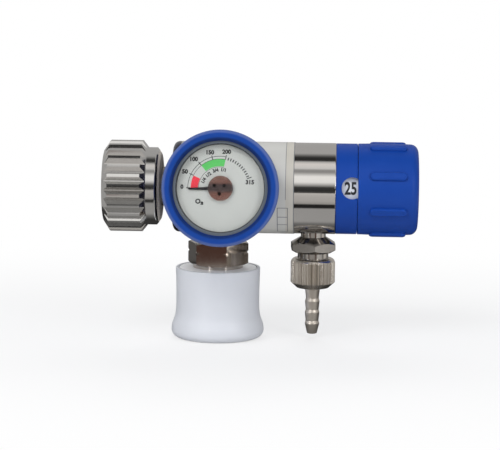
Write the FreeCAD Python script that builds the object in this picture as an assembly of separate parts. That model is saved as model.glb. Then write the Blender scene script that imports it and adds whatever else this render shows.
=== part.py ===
import FreeCAD, Part
import math
import os
from FreeCAD import Placement, Rotation, Vector

# Oxygen cylinder regulator, in millimetres, in its own frame with +Z up.
# X runs along the main axis from the handwheel's mouth to the end of the flow knob.
# The gauge faces -Y and leans back a few degrees, and both outlets point straight down.
# Places along X are measured from the handwheel's mouth.
# Places along the gauge's axis and down the two outlets are measured from the main axis.
# The finished part's origin is on the main axis where the inlet's full thread starts.

# Clearances
running_gap = 0.06  # radial, between turned pieces that turn or slide in each other
thrust_gap = 0.1  # along the axis, between faces that turn against each other
free_gap = 0.3  # between pieces that move past each other and never touch
pressed_gap = 0.05  # round balls and rings that sit loosely in their holes

# Handwheel nut
grip_radius = 22.85
grip_end = 19.2
mouth_rim_radius = 18.0
mouth_chamfer = 3.15
collar_radius = 19.4
collar_start = 21.85
collar_end = 26.5
wheel_end = 29.1
wheel_nose_radius = 16.4
wheel_face_radius = 11.6
flute_count = 28
flute_root_radius = 20.1
flute_root_width = 0.5
flute_half_angle = 30.0
thread_radius = 13.2  # G 3/4 at its major diameter
thread_lead_in = 0.9
thread_length = 10.6
thread_relief_radius = 13.7
wheel_web = 9.2  # thickness of the wall that the stem passes through

# Inlet stem
stem_radius = 9.75
flange_radius = 11.9
flange_thickness = 3.9
nose_radius = 8.0
nose_setback = 0.5  # from the end of the thread to the tip of the nose
stem_thread_radius = 8.0
stem_thread_length = 12.3
stem_bore = 2.0
filter_radius = 4.0
filter_length = 7.0
inlet_ring_wire = 0.9
inlet_ring_offset = 0.4  # behind the middle of the nose

# Body housing
body_radius = 22.7
body_start = 34.7
body_end = 115.75
body_corner = 3.0
body_edge = 0.4
gas_way = 2.0
nozzle_start = 62.0
nozzle_length = 4.0
nozzle_radius = 5.0
nozzle_hole = 1.2
piston_bore = 13.0
piston_stroke = 1.2
piston_head_start = 76.0
piston_head_length = 6.0
circlip_thickness = 1.2
circlip_depth = 0.7
circlip_width = 2.3
circlip_opening = 6.0
block_seat = 98.0
block_radius = 14.7
vent_radius = 0.75
channel_radius = 1.2
channel_depth = 16.3
channel_end = 90.0
cut_reach = 27.7  # radius that every port is cut out to
flat_depth = 0.05  # of the flats that the outlets seat on, below the deepest point of their round edge
label_start = 40.0
label_end = 95.2
label_thickness = 0.15
label_film = 0.03  # adhesive under the sticker
label_sweep = 300.0
label_margin = 1.0  # round the gauge's socket and the coupler's neck

# Piston
rod_radius = 3.0
piston_seat_radius = 2.4
piston_seat_length = 1.6
piston_hole = 1.0
piston_cross_hole = 0.6
piston_ring_wire = 0.85
piston_spring_wire = 1.4
piston_spring_radius = 8.0
piston_spring_turns = 3

# Flow selector
disc_thickness = 2.9
disc_radius = 13.6
metering_circle = 9.5
setting_count = 12
setting_pitch = 30.0
orifice_radius = 0.15
orifice_growth = 0.055  # from one setting to the next
spindle_radius = 3.0
spindle_head = 1.2
spindle_ring_width = 2.0
spindle_ring_wire = 0.89
block_start = 101.5
boss_height = 2.5
seal_radius = 3.0
seal_depth = 1.5
detent_circle = 12.2
detent_radius = 1.4
detent_pocket = 9.0
detent_length = 4.4
detent_reach = 0.3  # of the plunger's tip into the drum's track
detent_spring_wire = 0.35
detent_spring_radius = 0.95
detent_spring_turns = 6
stop_circle = 8.4
stop_pin_radius = 0.9
stop_pin_length = 5.0
stop_pin_out = 1.0
window_ring_radius = 22.6
window_ring_end = 126.4
window_ring_wall = 2.5
window_ring_chamfer = 0.3
window_radius = 5.35
window_offset = 2.6  # from the seam to the window's centre
window_lean = 7.4
ring_screw_circle = 17.4
ring_screw_head = 2.1
ring_screw_head_height = 1.5
ring_screw_radius = 1.25
ring_screw_length = 6.0
drum_radius = 19.75
drum_wall = 1.8
drum_tail = 6.0  # length of the drum inside the knob
drum_web = 1.9
track_depth = 0.6
dimple_radius = 1.3
dimple_centre = 0.2  # of each dimple's ball, inside the drum's end

# Flow knob
knob_seam = 0.2
knob_end = 157.0
knob_radius = 22.65
knob_belly_radius = 22.95
knob_rounding = 4.0
knob_dome = 0.7
knob_middle_radius = 4
knob_wall = 3.2
knob_end_wall = 4.0
knob_hub_radius = 6.5
rib_count = 8
rib_start = 132.3
rib_end = 150.6
rib_width = 4.2
rib_height = 1.3
rib_angle = 22.5  # from the front line up to the first rib
rib_rounding = 1.0

# Gauge, measured outwards along its own axis from the main axis
gauge_x = 60.5
gauge_lean = 6.0
gauge_port_radius = 5.0
gauge_port_depth = 12.0
socket_hex = 14.0
socket_hex_height = 3.6
socket_way = 0.6
case_radius = 23.5
boot_wall = 4.5
boot_radius = case_radius + boot_wall
boot_back = 27.0
boot_front = 51.5
boot_floor = 2.0
boot_back_round = 4.0
boot_front_round = 2.0
boot_swell_depth = 8.0
boot_swell_round = 20.0
boot_lip_grip = 0.8
boot_lip_radius = case_radius - boot_lip_grip
boot_lip_chamfer = 1.5
boot_lip_thickness = 2.3
case_wall = 1.0
bezel_width = 2.1
bezel_inner_radius = case_radius - bezel_width
bezel_depth = 3.0
bezel_lip = 0.8
window_thickness = 1.5
gasket_width = 2.6
gasket_inner_radius = case_radius - gasket_width
gasket_thickness = 1.6
dial_thickness = 0.6
hub_cover_radius = 6.0
hub_cover_thickness = 0.5
pointer_length = 15.6
pointer_tail = 5.0
pointer_thickness = 0.4
pointer_height = 0.4
pointer_rest = 1.7  # degrees that the tip rests below the nine o'clock line
pointer_sweep = 160.0
arbor_radius = 0.8
gear_module = 0.3
pinion_teeth = 10
sector_teeth = 60
movement_floor = 37.0
movement_height = 6.0
plate_thickness = 1.0
plate_half_width = 7.5
plate_margin = 4.5
plate_waist = 4.0
plate_step = 2.0
pillar_inset = 1.5
pillar_radius = 1.1
leg_radius = 1.5
tube_radius = 16.0
tube_width = 5.0
tube_thickness = 2.2
tube_wall = 0.4
tube_floor = 31.0
tube_start = -100.0
tube_sweep = 260.0
tube_plug_angle = 8.0
tail_radius = 5.0
link_thickness = 0.8
link_end_radius = 1.3
link_width = 1.4
link_pin_radius = 0.5
gear_thickness = 1.0
sector_hub_radius = 2.2
dial_hole_radius = 1.4
pointer_hub_radius = 2.0
pointer_half_width = 0.65
pointer_tip_width = 0.35
pointer_tail_width = 1.3

# Quick coupler, measured downwards from the main axis
coupler_x = 57.15
coupler_thread_radius = 8.5
coupler_port_depth = 14.5
coupler_neck_radius = 10.0
coupler_hex_top = 27.4
coupler_hex_bottom = 38.5
coupler_hex_width = 27.0
coupler_hex_turn = 11.0
hex_ring_depth = 0.95
hex_chamfer = 0.7
hex_ring_level = 32.3
coupler_bore = 3.0
barrel_spigot_radius = 9.5
barrel_spigot_top = 32.0
neck_ring_radius = 12.6
sleeve_top = 40.4
disc_step_radius = 11.9
top_disc_radius = 19.35
top_disc_thickness = 2.6
barrel_radius = 11.0
barrel_end = 75.2
valve_chamber_radius = 6.9
valve_seat_level = 49.0
valve_seat_radius = 4.6
valve_seat_thickness = 2.0
probe_bore = 6.5
probe_entry_radius = 7.0
probe_entry_length = 12.2
probe_ring_wire = 0.9
ball_count = 6
ball_radius = 2.3
ball_level = 58.0
ball_stand_in = 0.6
sleeve_rim_radius = 21.25
sleeve_waist_radius = 20.9
sleeve_waist_level = 57.0
sleeve_flare_radius = 23.25
sleeve_skirt_radius = 21.75
sleeve_skirt_level = 66.0
sleeve_flare_level = 71.8
sleeve_bottom = 75.8
sleeve_bottom_round = 3.6
sleeve_wall = 2.2
sleeve_floor = 2.5
sleeve_travel = 4.0
lock_ring_radius = 12.6
lock_ring_end = 61.4
lock_flange_thickness = 2.2
lock_relief_depth = 0.9
spring_seat_radius = 17.0
spring_seat_level = 66.0
spring_seat_thickness = 1.2
sleeve_spring_wire = 1.4
sleeve_spring_radius = 14.4
sleeve_spring_turns = 6
poppet_radius = 6.5
poppet_head = 3.4
poppet_nose_radius = 4.2
poppet_nose = 3.0
poppet_spring_wire = 0.7
poppet_spring_radius = 4.6
poppet_spring_turns = 5

# Hose outlet, measured downwards from the main axis
outlet_from_block = 3.3
outlet_x = block_start + outlet_from_block
outlet_port_depth = 17.0
outlet_port_radius = 5.0
outlet_neck_radius = 6.25
outlet_hex_top = 24.3
outlet_hex_bottom = 32.2
outlet_hex_cone = 3.7
outlet_hex_foot = 1.9
outlet_hex_width = 21.5
outlet_hex_turn = 25.0
outlet_thread_radius = 7.7
outlet_thread_end = 44.0
outlet_bore = 2.2
nut_top = 35.0
nut_bottom = 50.0
nut_radius = 11.15
nut_top_round = 2.6
nut_chamfer = 2.8
nut_floor = 2.6
knurl_count = 80
knurl_depth = 0.42
nipple_radius = 3.8
nipple_collar_radius = 7.2
nipple_collar = 3.2
nipple_bore = 1.6
nipple_waist_radius = 3.3
nipple_waist_level = 54.6
barb_count = 3
barb_first = 57.0
barb_pitch = 5.7
barb_radius = 3.68
barb_rise = 1.4
barb_rounding = 0.7
barb_valley_radius = 3.24
nipple_tip_radius = 2.45
nipple_end = 73.6
outlet_ring_wire = 0.8


def outline(corners):
    """Closed wire through (along, radius) corners; a third number rounds the corner with a tangent arc."""
    points = [Vector(corner[1], 0, corner[0]) for corner in corners]
    stretches = []
    for i, corner in enumerate(corners):
        here = points[i]
        rounding = corner[2] if len(corner) > 2 else 0
        if rounding == 0:
            stretches.append((here, here, None))
            continue
        back = (points[i - 1] - here).normalize()
        ahead = (points[(i + 1) % len(points)] - here).normalize()
        half = back.getAngle(ahead) / 2
        reach = rounding / math.tan(half)
        inwards = (back + ahead).normalize()
        middle = here + inwards * (rounding / math.sin(half) - rounding)
        stretches.append((here + back * reach, here + ahead * reach, middle))
    edges = []
    for i, (enter, leave, middle) in enumerate(stretches):
        if middle is not None:
            edges.append(Part.Arc(enter, middle, leave).toShape())
        following = stretches[(i + 1) % len(stretches)][0]
        if leave.distanceToPoint(following) > 1e-6:
            edges.append(Part.makeLine(leave, following))
    return Part.Wire(edges)


def turned(corners, sweep=360):
    """Solid turned about local Z from its (along, radius, rounding) section."""
    return Part.Face(outline(corners)).revolve(Vector(0, 0, 0), Vector(0, 0, 1), sweep)


def ring(low, high, inner, outer):
    return turned([(low, inner), (low, outer), (high, outer), (high, inner)])


def rod(low, high, radius):
    return Part.makeCylinder(radius, high - low, Vector(0, 0, low))


def o_ring(level, radius, wire):
    return Part.makeTorus(radius, wire, Vector(0, 0, level))


def extruded(points, low, high):
    """Prism on a closed list of (x, y) points."""
    corners = [Vector(x, y, low) for x, y in points]
    return Part.Face(Part.makePolygon(corners + corners[:1])).extrude(Vector(0, 0, high - low))


def on_circle(radius, degrees):
    return radius * math.cos(math.radians(degrees)), radius * math.sin(math.radians(degrees))


def hexagon(low, high, across_flats, turn):
    corners = [on_circle(across_flats / math.sqrt(3), turn + 60 * i) for i in range(6)]
    return extruded(corners, low, high)


def turned_copies(shape, count, first=0.0, pitch=None):
    step = 360.0 / count if pitch is None else pitch
    return [shape.rotated(Vector(0, 0, 0), Vector(0, 0, 1), first + step * i) for i in range(count)]


def coil(low, high, radius, wire, turns):
    """Round-wire compression spring with closed end turns, standing between two levels."""
    path = []
    steps = 24
    bottom = low + wire
    top = high - wire
    pitch = (top - bottom - 4 * wire) / (turns - 2)
    level = bottom
    for i in range(turns * steps + 1):
        path.append(Vector(*on_circle(radius, 360.0 * i / steps), level))
        in_end_turn = i < steps or i >= (turns - 1) * steps
        level += (2 * wire if in_end_turn else pitch) / steps
    spline = Part.BSplineCurve()
    spline.interpolate(path)
    start = spline.tangent(0)[0]
    section = Part.Wire(Part.makeCircle(wire, path[0], start))
    return Part.Wire(spline.toShape()).makePipeShell([section], True, True)


# Angles about a main-axis piece before it is laid along X, from its underside round by the back
back_angle = 90.0
top_angle = 180.0
front_angle = 270.0


def along_x(shape):
    """Turns local Z onto the main axis, with local X downwards and local Y to the back."""
    return shape.transformed(Placement(Vector(), Rotation(Vector(0, 1, 0), 90)).toMatrix())


def hanging(shape, x):
    """Turns local Z straight down, below the main axis at x."""
    return shape.transformed(Placement(Vector(x, 0, 0), Rotation(Vector(1, 0, 0), 180)).toMatrix())


def gauge_place(shape):
    """Turns local Z onto the gauge's axis, with local Y up its dial."""
    turn = Rotation(Vector(1, 0, 0), 90 - gauge_lean)
    return shape.transformed(Placement(Vector(gauge_x, 0, 0), turn).toMatrix())


def save(name, *solids):
    shape = solids[0] if len(solids) == 1 else Part.makeCompound(list(solids))
    shape.translate(Vector(-thread_lead_in, 0, 0))
    found = shape.Solids
    shape = found[0] if len(found) == 1 else Part.makeCompound(found)
    shape.exportStep("parts/" + name + ".step")
    print(name, len(found), "valid" if shape.isValid() else "NOT VALID")


# Handwheel nut

def handwheel_nut():
    shoulder = wheel_end - wheel_web
    thread_end = thread_lead_in + thread_length
    blank = turned([
        (0, thread_radius + thread_lead_in), (0, mouth_rim_radius),
        (mouth_chamfer, grip_radius), (grip_end, grip_radius),
        (collar_start, collar_radius), (collar_end, collar_radius, 0.8),
        (wheel_end - 0.6, wheel_nose_radius, 1.6), (wheel_end, wheel_face_radius),
        (wheel_end, stem_radius + running_gap), (shoulder, stem_radius + running_gap),
        (shoulder, thread_relief_radius), (thread_end, thread_relief_radius),
        (thread_end, thread_radius), (thread_lead_in, thread_radius)])
    rise = grip_radius + 1 - flute_root_radius
    top = flute_root_width / 2 + rise * math.tan(math.radians(flute_half_angle))
    outer = flute_root_radius + rise
    section = [(flute_root_radius, -flute_root_width / 2), (outer, -top), (outer, top),
               (flute_root_radius, flute_root_width / 2)]
    flute = extruded(section, -1, collar_start)
    return blank.cut(turned_copies(flute, flute_count))


# Inlet stem, its sealing ring and its filter

def stem_levels():
    tip = thread_lead_in + thread_length + nose_setback
    flange_end = wheel_end - wheel_web - thrust_gap
    return tip, flange_end - flange_thickness, flange_end


def inlet_stem():
    tip, flange_start, flange_end = stem_levels()
    end = body_start + stem_thread_length
    ring_level = inlet_ring_level()
    groove = nose_radius - inlet_ring_wire
    return turned([
        (tip, stem_bore), (tip, nose_radius - 1.2), (tip + 1.2, nose_radius),
        (ring_level - inlet_ring_wire, nose_radius), (ring_level - inlet_ring_wire, groove),
        (ring_level + inlet_ring_wire, groove), (ring_level + inlet_ring_wire, nose_radius),
        (flange_start, nose_radius), (flange_start, flange_radius, 0.5),
        (flange_end, flange_radius, 0.3), (flange_end, stem_radius),
        (body_start, stem_radius), (body_start, stem_thread_radius),
        (end, stem_thread_radius), (end, filter_radius),
        (end - filter_length, filter_radius), (end - filter_length, stem_bore)])


def inlet_ring_level():
    tip, flange_start, _ = stem_levels()
    return (tip + flange_start) / 2 + inlet_ring_offset


def inlet_oring():
    return o_ring(inlet_ring_level(), nose_radius, inlet_ring_wire)


def inlet_filter():
    end = body_start + stem_thread_length
    return rod(end - filter_length, end, filter_radius)


# Body housing with its ports and gas ways

def piston_stop():
    return piston_head_start + piston_head_length + thrust_gap


def body_housing():
    thread_end = body_start + stem_thread_length
    nozzle_end = nozzle_start + nozzle_length
    body = turned([
        (body_start, stem_thread_radius), (body_start, body_radius, body_corner),
        (body_end, body_radius, body_edge), (body_end, block_radius),
        (block_seat, block_radius), (block_seat, piston_bore),
        (piston_stop() + circlip_thickness, piston_bore),
        (piston_stop() + circlip_thickness, piston_bore + circlip_depth),
        (piston_stop(), piston_bore + circlip_depth), (piston_stop(), piston_bore),
        (nozzle_end, piston_bore), (nozzle_end, nozzle_radius),
        (nozzle_start, nozzle_radius), (nozzle_start, gas_way),
        (thread_end, gas_way), (thread_end, stem_thread_radius)])
    screw = rod(body_end - ring_screw_length, body_end + 1, ring_screw_radius)
    screw.translate(Vector(ring_screw_circle, 0, 0))
    body = along_x(body.cut(turned_copies(screw, 3, 60)))
    gauge_port = gauge_place(rod(gauge_port_depth, cut_reach, gauge_port_radius).fuse(
        rod(0, gauge_port_depth, nozzle_hole)))
    gauge_flat = gauge_place(rod(gauge_seat(), cut_reach, socket_flange_radius()))
    coupler_port = hanging(rod(coupler_port_depth, cut_reach, coupler_thread_radius), coupler_x)
    coupler_seat = rod(seat_below(coupler_neck_radius), cut_reach, coupler_neck_radius)
    coupler_flat = hanging(coupler_seat, coupler_x)
    channel = along_x(rod(coupler_x, channel_end, channel_radius))
    channel.translate(Vector(0, 0, -channel_depth))
    riser = hanging(rod(piston_bore - 2, channel_depth, channel_radius), channel_end)
    outlet_port = hanging(rod(outlet_port_depth, cut_reach, outlet_port_radius), outlet_x)
    outlet_flat = hanging(rod(seat_below(outlet_neck_radius), cut_reach, outlet_neck_radius), outlet_x)
    outlet_way = hanging(rod(0, outlet_port_depth, channel_radius), outlet_x)
    vent = Part.makeCylinder(vent_radius, cut_reach, Vector(nozzle_end + 3, 0, 0), Vector(0, 1, 0))
    return body.cut([gauge_port, gauge_flat, coupler_port, coupler_flat, channel, riser,
                     outlet_port, outlet_flat, outlet_way, vent])


def seat_below(radius):
    """Depth of the flat that a round neck of this radius seats on in the round body."""
    return math.sqrt(body_radius ** 2 - radius ** 2) - flat_depth


def body_label():
    """Sticker wrapped round the body, open at the back, with cut-outs for the gauge and the coupler."""
    inner = body_radius + label_film
    wrap = turned([(label_start, inner), (label_start, inner + label_thickness),
                   (label_end, inner + label_thickness), (label_end, inner)], label_sweep)
    wrap.rotate(Vector(0, 0, 0), Vector(0, 0, 1), back_angle + (360 - label_sweep) / 2)
    wrap = along_x(wrap)
    gauge_hole = gauge_place(rod(0, cut_reach, socket_flange_radius() + label_margin))
    coupler_hole = hanging(rod(0, cut_reach, coupler_neck_radius + label_margin), coupler_x)
    return wrap.cut([gauge_hole, coupler_hole])


def valve_nozzle():
    return turned([
        (nozzle_start, nozzle_hole), (nozzle_start, nozzle_radius),
        (nozzle_start + nozzle_length - 0.6, nozzle_radius),
        (nozzle_start + nozzle_length - 0.6, nozzle_hole + 1.6),
        (nozzle_start + nozzle_length, nozzle_hole + 0.5),
        (nozzle_start + nozzle_length, nozzle_hole)])


# Pressure-reducing piston

def piston_levels():
    seat_face = nozzle_start + nozzle_length + piston_stroke + thrust_gap
    return seat_face, piston_head_start, piston_head_start + piston_head_length


def regulating_piston():
    face, head, end = piston_levels()
    middle = (head + end) / 2
    skirt = piston_bore - running_gap
    groove_floor = skirt - 2 * piston_ring_wire
    piston = turned([
        (face, piston_seat_radius), (face, rod_radius), (head, rod_radius, 0.8), (head, skirt),
        (middle - piston_ring_wire, skirt), (middle - piston_ring_wire, groove_floor),
        (middle + piston_ring_wire, groove_floor), (middle + piston_ring_wire, skirt),
        (end, skirt, 0.4), (end, piston_hole), (face + piston_seat_length, piston_hole),
        (face + piston_seat_length, piston_seat_radius)])
    cross = Part.makeCylinder(piston_cross_hole, 2 * rod_radius,
                              Vector(-rod_radius, 0, face + piston_seat_length + 1.4), Vector(1, 0, 0))
    return piston.cut(cross)


def piston_seat():
    face = piston_levels()[0]
    return rod(face, face + piston_seat_length, piston_seat_radius)


def piston_oring():
    _, head, end = piston_levels()
    return o_ring((head + end) / 2, piston_bore - running_gap - piston_ring_wire, piston_ring_wire)


def piston_spring():
    return coil(nozzle_start + nozzle_length, piston_head_start,
                piston_spring_radius, piston_spring_wire / 2, piston_spring_turns + 2)


def piston_circlip():
    return circlip(piston_stop(), piston_bore + circlip_depth - circlip_width, piston_bore + circlip_depth)


def circlip(level, inner, outer):
    """Flat snap ring that is open at one side."""
    half = circlip_opening / 2
    opening = extruded([(0, -half), (outer + 1, -half), (outer + 1, half), (0, half)],
                       level, level + circlip_thickness)
    return ring(level, level + circlip_thickness, inner, outer).cut(opening)


# Flow selector

def drum_start():
    return body_end + boss_height + free_gap


def metering_block():
    bore = spindle_radius + running_gap
    ring_floor = spindle_radius + spindle_ring_width
    ring_start = spindle_ring_level() - spindle_ring_width / 2
    ring_end = ring_start + spindle_ring_width
    block = turned([
        (block_start, bore), (block_start, block_radius),
        (body_end + boss_height, block_radius, 0.4), (body_end + boss_height, bore),
        (ring_end, bore), (ring_end, ring_floor), (ring_start, ring_floor), (ring_start, bore)])
    seat = rod(block_start, block_start + seal_depth, seal_radius)
    way = rod(block_start, outlet_x, channel_radius)
    below = Vector(metering_circle, 0, 0)
    seat.translate(below)
    way.translate(below)
    boss = body_end + boss_height
    pocket = rod(boss - detent_pocket, boss + 1, detent_radius + running_gap)
    pocket.translate(Vector(*on_circle(detent_circle, top_angle), 0))
    pin = rod(boss - stop_pin_length + stop_pin_out, boss + 1, stop_pin_radius)
    pin.translate(Vector(*on_circle(stop_circle, back_angle), 0))
    block = along_x(block.cut([seat, way, pocket, pin]))
    return block.cut(hanging(rod(metering_circle, block_radius + 1, channel_radius), outlet_x))


def spindle_ring_level():
    return outlet_x + 5


def orifice_disc():
    """Disc with one metering hole for each flow setting, keyed to the spindle by its flat."""
    start = block_start - thrust_gap - disc_thickness
    disc = turned([(start, spindle_radius), (start, disc_radius, 0.4),
                   (start + disc_thickness, disc_radius), (start + disc_thickness, spindle_radius)])
    holes = []
    for i in range(1, setting_count):
        hole = rod(start - 1, start + disc_thickness + 1, orifice_radius + orifice_growth * i)
        hole.translate(Vector(*on_circle(metering_circle, setting_pitch * (setting_count - 1 - i)), 0))
        holes.append(hole)
    return disc.cut(holes)


def selector_spindle():
    disc = block_start - thrust_gap - disc_thickness
    head_radius = spindle_radius + 1.4
    return turned([(disc - spindle_head, 0), (disc - spindle_head, head_radius, 0.3), (disc, head_radius),
                   (disc, spindle_radius), (spindle_end(), spindle_radius, 0.5), (spindle_end(), 0)])


def spindle_end():
    return knob_end - knob_end_wall - 2


def spindle_oring():
    radius = spindle_radius + running_gap + spindle_ring_wire
    return o_ring(spindle_ring_level(), radius, spindle_ring_wire)


def port_seal():
    seal = ring(block_start - thrust_gap / 2, block_start + seal_depth, channel_radius, seal_radius)
    seal.translate(Vector(metering_circle, 0, 0))
    return seal


def detent_levels():
    """Tip of the plunger in the drum's track, and its two ends inside the pocket."""
    tip = drum_start() + detent_reach
    return tip, tip - detent_length


def detent_plunger():
    tip, back = detent_levels()
    pin = turned([(back, 0), (back, detent_radius), (tip - 1, detent_radius), (tip, 0.5, 0.3), (tip, 0)])
    pin.translate(Vector(*on_circle(detent_circle, top_angle), 0))
    return pin


def detent_spring():
    _, back = detent_levels()
    spring = coil(body_end + boss_height - detent_pocket, back,
                  detent_spring_radius, detent_spring_wire / 2, detent_spring_turns)
    spring.translate(Vector(*on_circle(detent_circle, top_angle), 0))
    return spring


def stop_pin():
    top = body_end + boss_height
    low = top + stop_pin_out - stop_pin_length
    pin = turned([(low, 0), (low, stop_pin_radius), (top + stop_pin_out, stop_pin_radius, 0.2),
                  (top + stop_pin_out, 0)])
    pin.translate(Vector(*on_circle(stop_circle, back_angle), 0))
    return pin


def window_ring():
    """Fixed blue ring with a round window that the knob's seam cuts off."""
    wall_inner = window_ring_radius - window_ring_wall
    hollow = turned([
        (body_end, block_radius + thrust_gap), (body_end, window_ring_radius, 0.4),
        (window_ring_end - window_ring_chamfer, window_ring_radius),
        (window_ring_end, window_ring_radius - window_ring_chamfer), (window_ring_end, wall_inner),
        (body_end + boss_height, wall_inner), (body_end + boss_height, block_radius + thrust_gap)])
    screw = rod(body_end - 1, body_end + boss_height + 1, ring_screw_radius)
    head = rod(body_end + boss_height - ring_screw_head_height, body_end + boss_height + 1, ring_screw_head)
    bore = screw.fuse(head)
    bore.translate(Vector(ring_screw_circle, 0, 0))
    hollow = along_x(hollow.cut(turned_copies(bore, 3, 60)))
    window = Part.makeCylinder(window_radius, cut_reach,
                               Vector(window_ring_end - window_offset, 0, 0), window_direction())
    return hollow.cut(window)


def window_direction():
    return Vector(0, -math.cos(math.radians(window_lean)), math.sin(math.radians(window_lean)))


def ring_screws():
    top = body_end + boss_height
    tip = body_end - ring_screw_length
    head = top - ring_screw_head_height
    screw = turned([(tip, 0), (tip, ring_screw_radius, 0.3), (head, ring_screw_radius),
                    (head, ring_screw_head), (top, ring_screw_head, 0.4), (top, 0)])
    slot = Part.makeBox(0.5, 3 * ring_screw_head, 0.7, Vector(-0.25, -1.5 * ring_screw_head, top - 0.5))
    screw = screw.cut(slot)
    screw.translate(Vector(ring_screw_circle, 0, 0))
    return turned_copies(screw, 3, 60)


def knob_start():
    return window_ring_end + knob_seam


def numeral_drum():
    """White drum that carries the flow numbers, with the click track and the stop groove in its end."""
    start = drum_start()
    inner = drum_radius - drum_wall
    drum = turned([(start, spindle_radius), (start, drum_radius, 0.3),
                   (knob_start() + drum_tail, drum_radius), (knob_start() + drum_tail, inner),
                   (start + drum_web, inner), (start + drum_web, spindle_radius)])
    track = ring(start - 1, start + track_depth, detent_circle - detent_radius - free_gap,
                 detent_circle + detent_radius + free_gap)
    dimple = Part.makeSphere(dimple_radius, Vector(detent_circle, 0, start + dimple_centre))
    half = stop_pin_radius + free_gap
    stops = 2 * math.degrees(math.asin(half / stop_circle))
    travel = setting_pitch * (setting_count - 1)
    groove_end = start + stop_pin_out + free_gap
    groove = turned([(start - 1, stop_circle - half), (start - 1, stop_circle + half),
                     (groove_end, stop_circle + half), (groove_end, stop_circle - half)], travel + stops)
    groove.rotate(Vector(0, 0, 0), Vector(0, 0, 1), back_angle - stops / 2)
    return drum.cut([track, groove] + turned_copies(dimple, setting_count, 0, setting_pitch))


def flow_knob():
    start = knob_start()
    inner = knob_radius - knob_wall
    shell = turned([
        (start, drum_radius), (start, knob_radius, 0.3), ((start + knob_end) / 2, knob_belly_radius, 200),
        (knob_end - knob_dome, knob_radius - 0.2, knob_rounding),
        (knob_end, knob_middle_radius), (knob_end, 0), (spindle_end(), 0), (spindle_end(), spindle_radius),
        (start + drum_tail + 1, spindle_radius), (start + drum_tail + 1, knob_hub_radius),
        (knob_end - knob_end_wall, knob_hub_radius, 1), (knob_end - knob_end_wall, inner, 2),
        (start + drum_tail, inner), (start + drum_tail, drum_radius)])
    return shell.fuse(knob_ribs())


def knob_ribs():
    """Grip ribs with round ends, standing on the knob's skirt."""
    radius = rib_width / 2
    foot = knob_radius - 1
    top = knob_belly_radius + rib_height
    bar = Part.makeBox(top - foot, rib_width, rib_end - rib_start - rib_width,
                       Vector(foot, -radius, rib_start + radius))
    ends = [Part.makeCylinder(radius, top - foot, Vector(foot, 0, level), Vector(1, 0, 0))
            for level in (rib_start + radius, rib_end - radius)]
    rib = bar.fuse(ends).removeSplitter()
    rims = [edge for edge in rib.Edges if edge.BoundBox.XMin > top - 0.01]
    rib = rib.makeFillet(rib_rounding, rims)
    return turned_copies(rib, rib_count, front_angle - rib_angle)


# Gauge

def gauge_seat():
    return seat_below(socket_flange_radius())


def socket_flange_radius():
    return socket_hex / math.sqrt(3)


def boot_seat():
    return boot_front - boot_lip_thickness


def gauge_levels():
    """Floors of the window, the gasket and the dial, going inwards from the bezel."""
    window = boot_seat() - bezel_lip - window_thickness
    gasket = window - gasket_thickness
    return window, gasket, gasket - dial_thickness


def gauge_boot():
    """Rubber cup with a rounded rim and a lip that holds the bezel in."""
    return turned([
        (boot_back, gauge_port_radius), (boot_back, boot_radius - 1, boot_back_round),
        (boot_front - boot_swell_depth, boot_radius, boot_swell_round),
        (boot_front, boot_radius, boot_front_round),
        (boot_front, boot_lip_radius + boot_lip_chamfer, 0.5),
        (boot_front - boot_lip_chamfer, boot_lip_radius, 0.4), (boot_seat(), boot_lip_radius),
        (boot_seat(), case_radius), (boot_back + boot_floor, case_radius),
        (boot_back + boot_floor, gauge_port_radius)])


def gauge_socket():
    """Brass socket that screws into the body, carries the case and feeds the coiled tube."""
    foot = turned([(gauge_port_depth, nozzle_hole), (gauge_port_depth, gauge_port_radius, 0.5),
                   (tube_floor, gauge_port_radius), (tube_floor, nozzle_hole)])
    nut = hexagon(gauge_seat(), gauge_seat() + socket_hex_height, socket_hex, 0)
    nut = nut.common(turned([(gauge_seat(), 0), (gauge_seat(), socket_flange_radius(), 0.6),
                             (gauge_seat() + socket_hex_height, socket_flange_radius(), 0.6),
                             (gauge_seat() + socket_hex_height, 0)]))
    nut = nut.cut(rod(0, gauge_seat() + socket_hex_height, nozzle_hole))
    inner = tube_radius - tube_thickness / 2
    start_x, start_y = on_circle(tube_radius, tube_start)
    arm = extruded([(-4, 5), (4, 5), (4, -inner), (start_x + 5, start_y - 1), (start_x, start_y - 1),
                    (start_x, start_y + 1.5), (-4, -inner + 2)], tube_floor, tube_floor + tube_width)
    middle = Vector(0, 0, tube_floor + tube_width / 2)
    way = Part.makeCylinder(socket_way, inner, middle, Vector(0, -1, 0))
    return foot.fuse([nut, arm]).removeSplitter().cut([way, bourdon_tube()])


def bourdon_tube():
    """Flattened C-shaped tube, closed at its free end by a tip plug with a pad under the link."""
    middle = tube_floor + tube_width / 2

    def flat_section(width, thickness):
        return outline([(middle - width / 2, tube_radius - thickness / 2, 0.45 * thickness),
                        (middle - width / 2, tube_radius + thickness / 2, 0.45 * thickness),
                        (middle + width / 2, tube_radius + thickness / 2, 0.45 * thickness),
                        (middle + width / 2, tube_radius - thickness / 2, 0.45 * thickness)])

    def bent(width, thickness, sweep):
        face = Part.Face(flat_section(width, thickness))
        arc = face.revolve(Vector(0, 0, 0), Vector(0, 0, 1), sweep)
        arc.rotate(Vector(0, 0, 0), Vector(0, 0, 1), tube_start - sweep)
        return arc

    plugged = bent(tube_width, tube_thickness, tube_sweep + tube_plug_angle)
    hollow = bent(tube_width - 2 * tube_wall, tube_thickness - 2 * tube_wall, tube_sweep)
    pad = rod(middle, link_floor() - thrust_gap, link_end_radius)
    pad.translate(Vector(*tube_tip(), 0))
    return plugged.cut(hollow).fuse(pad)


def tube_tip():
    return on_circle(tube_radius, tube_start - tube_sweep - tube_plug_angle / 2)


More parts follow.
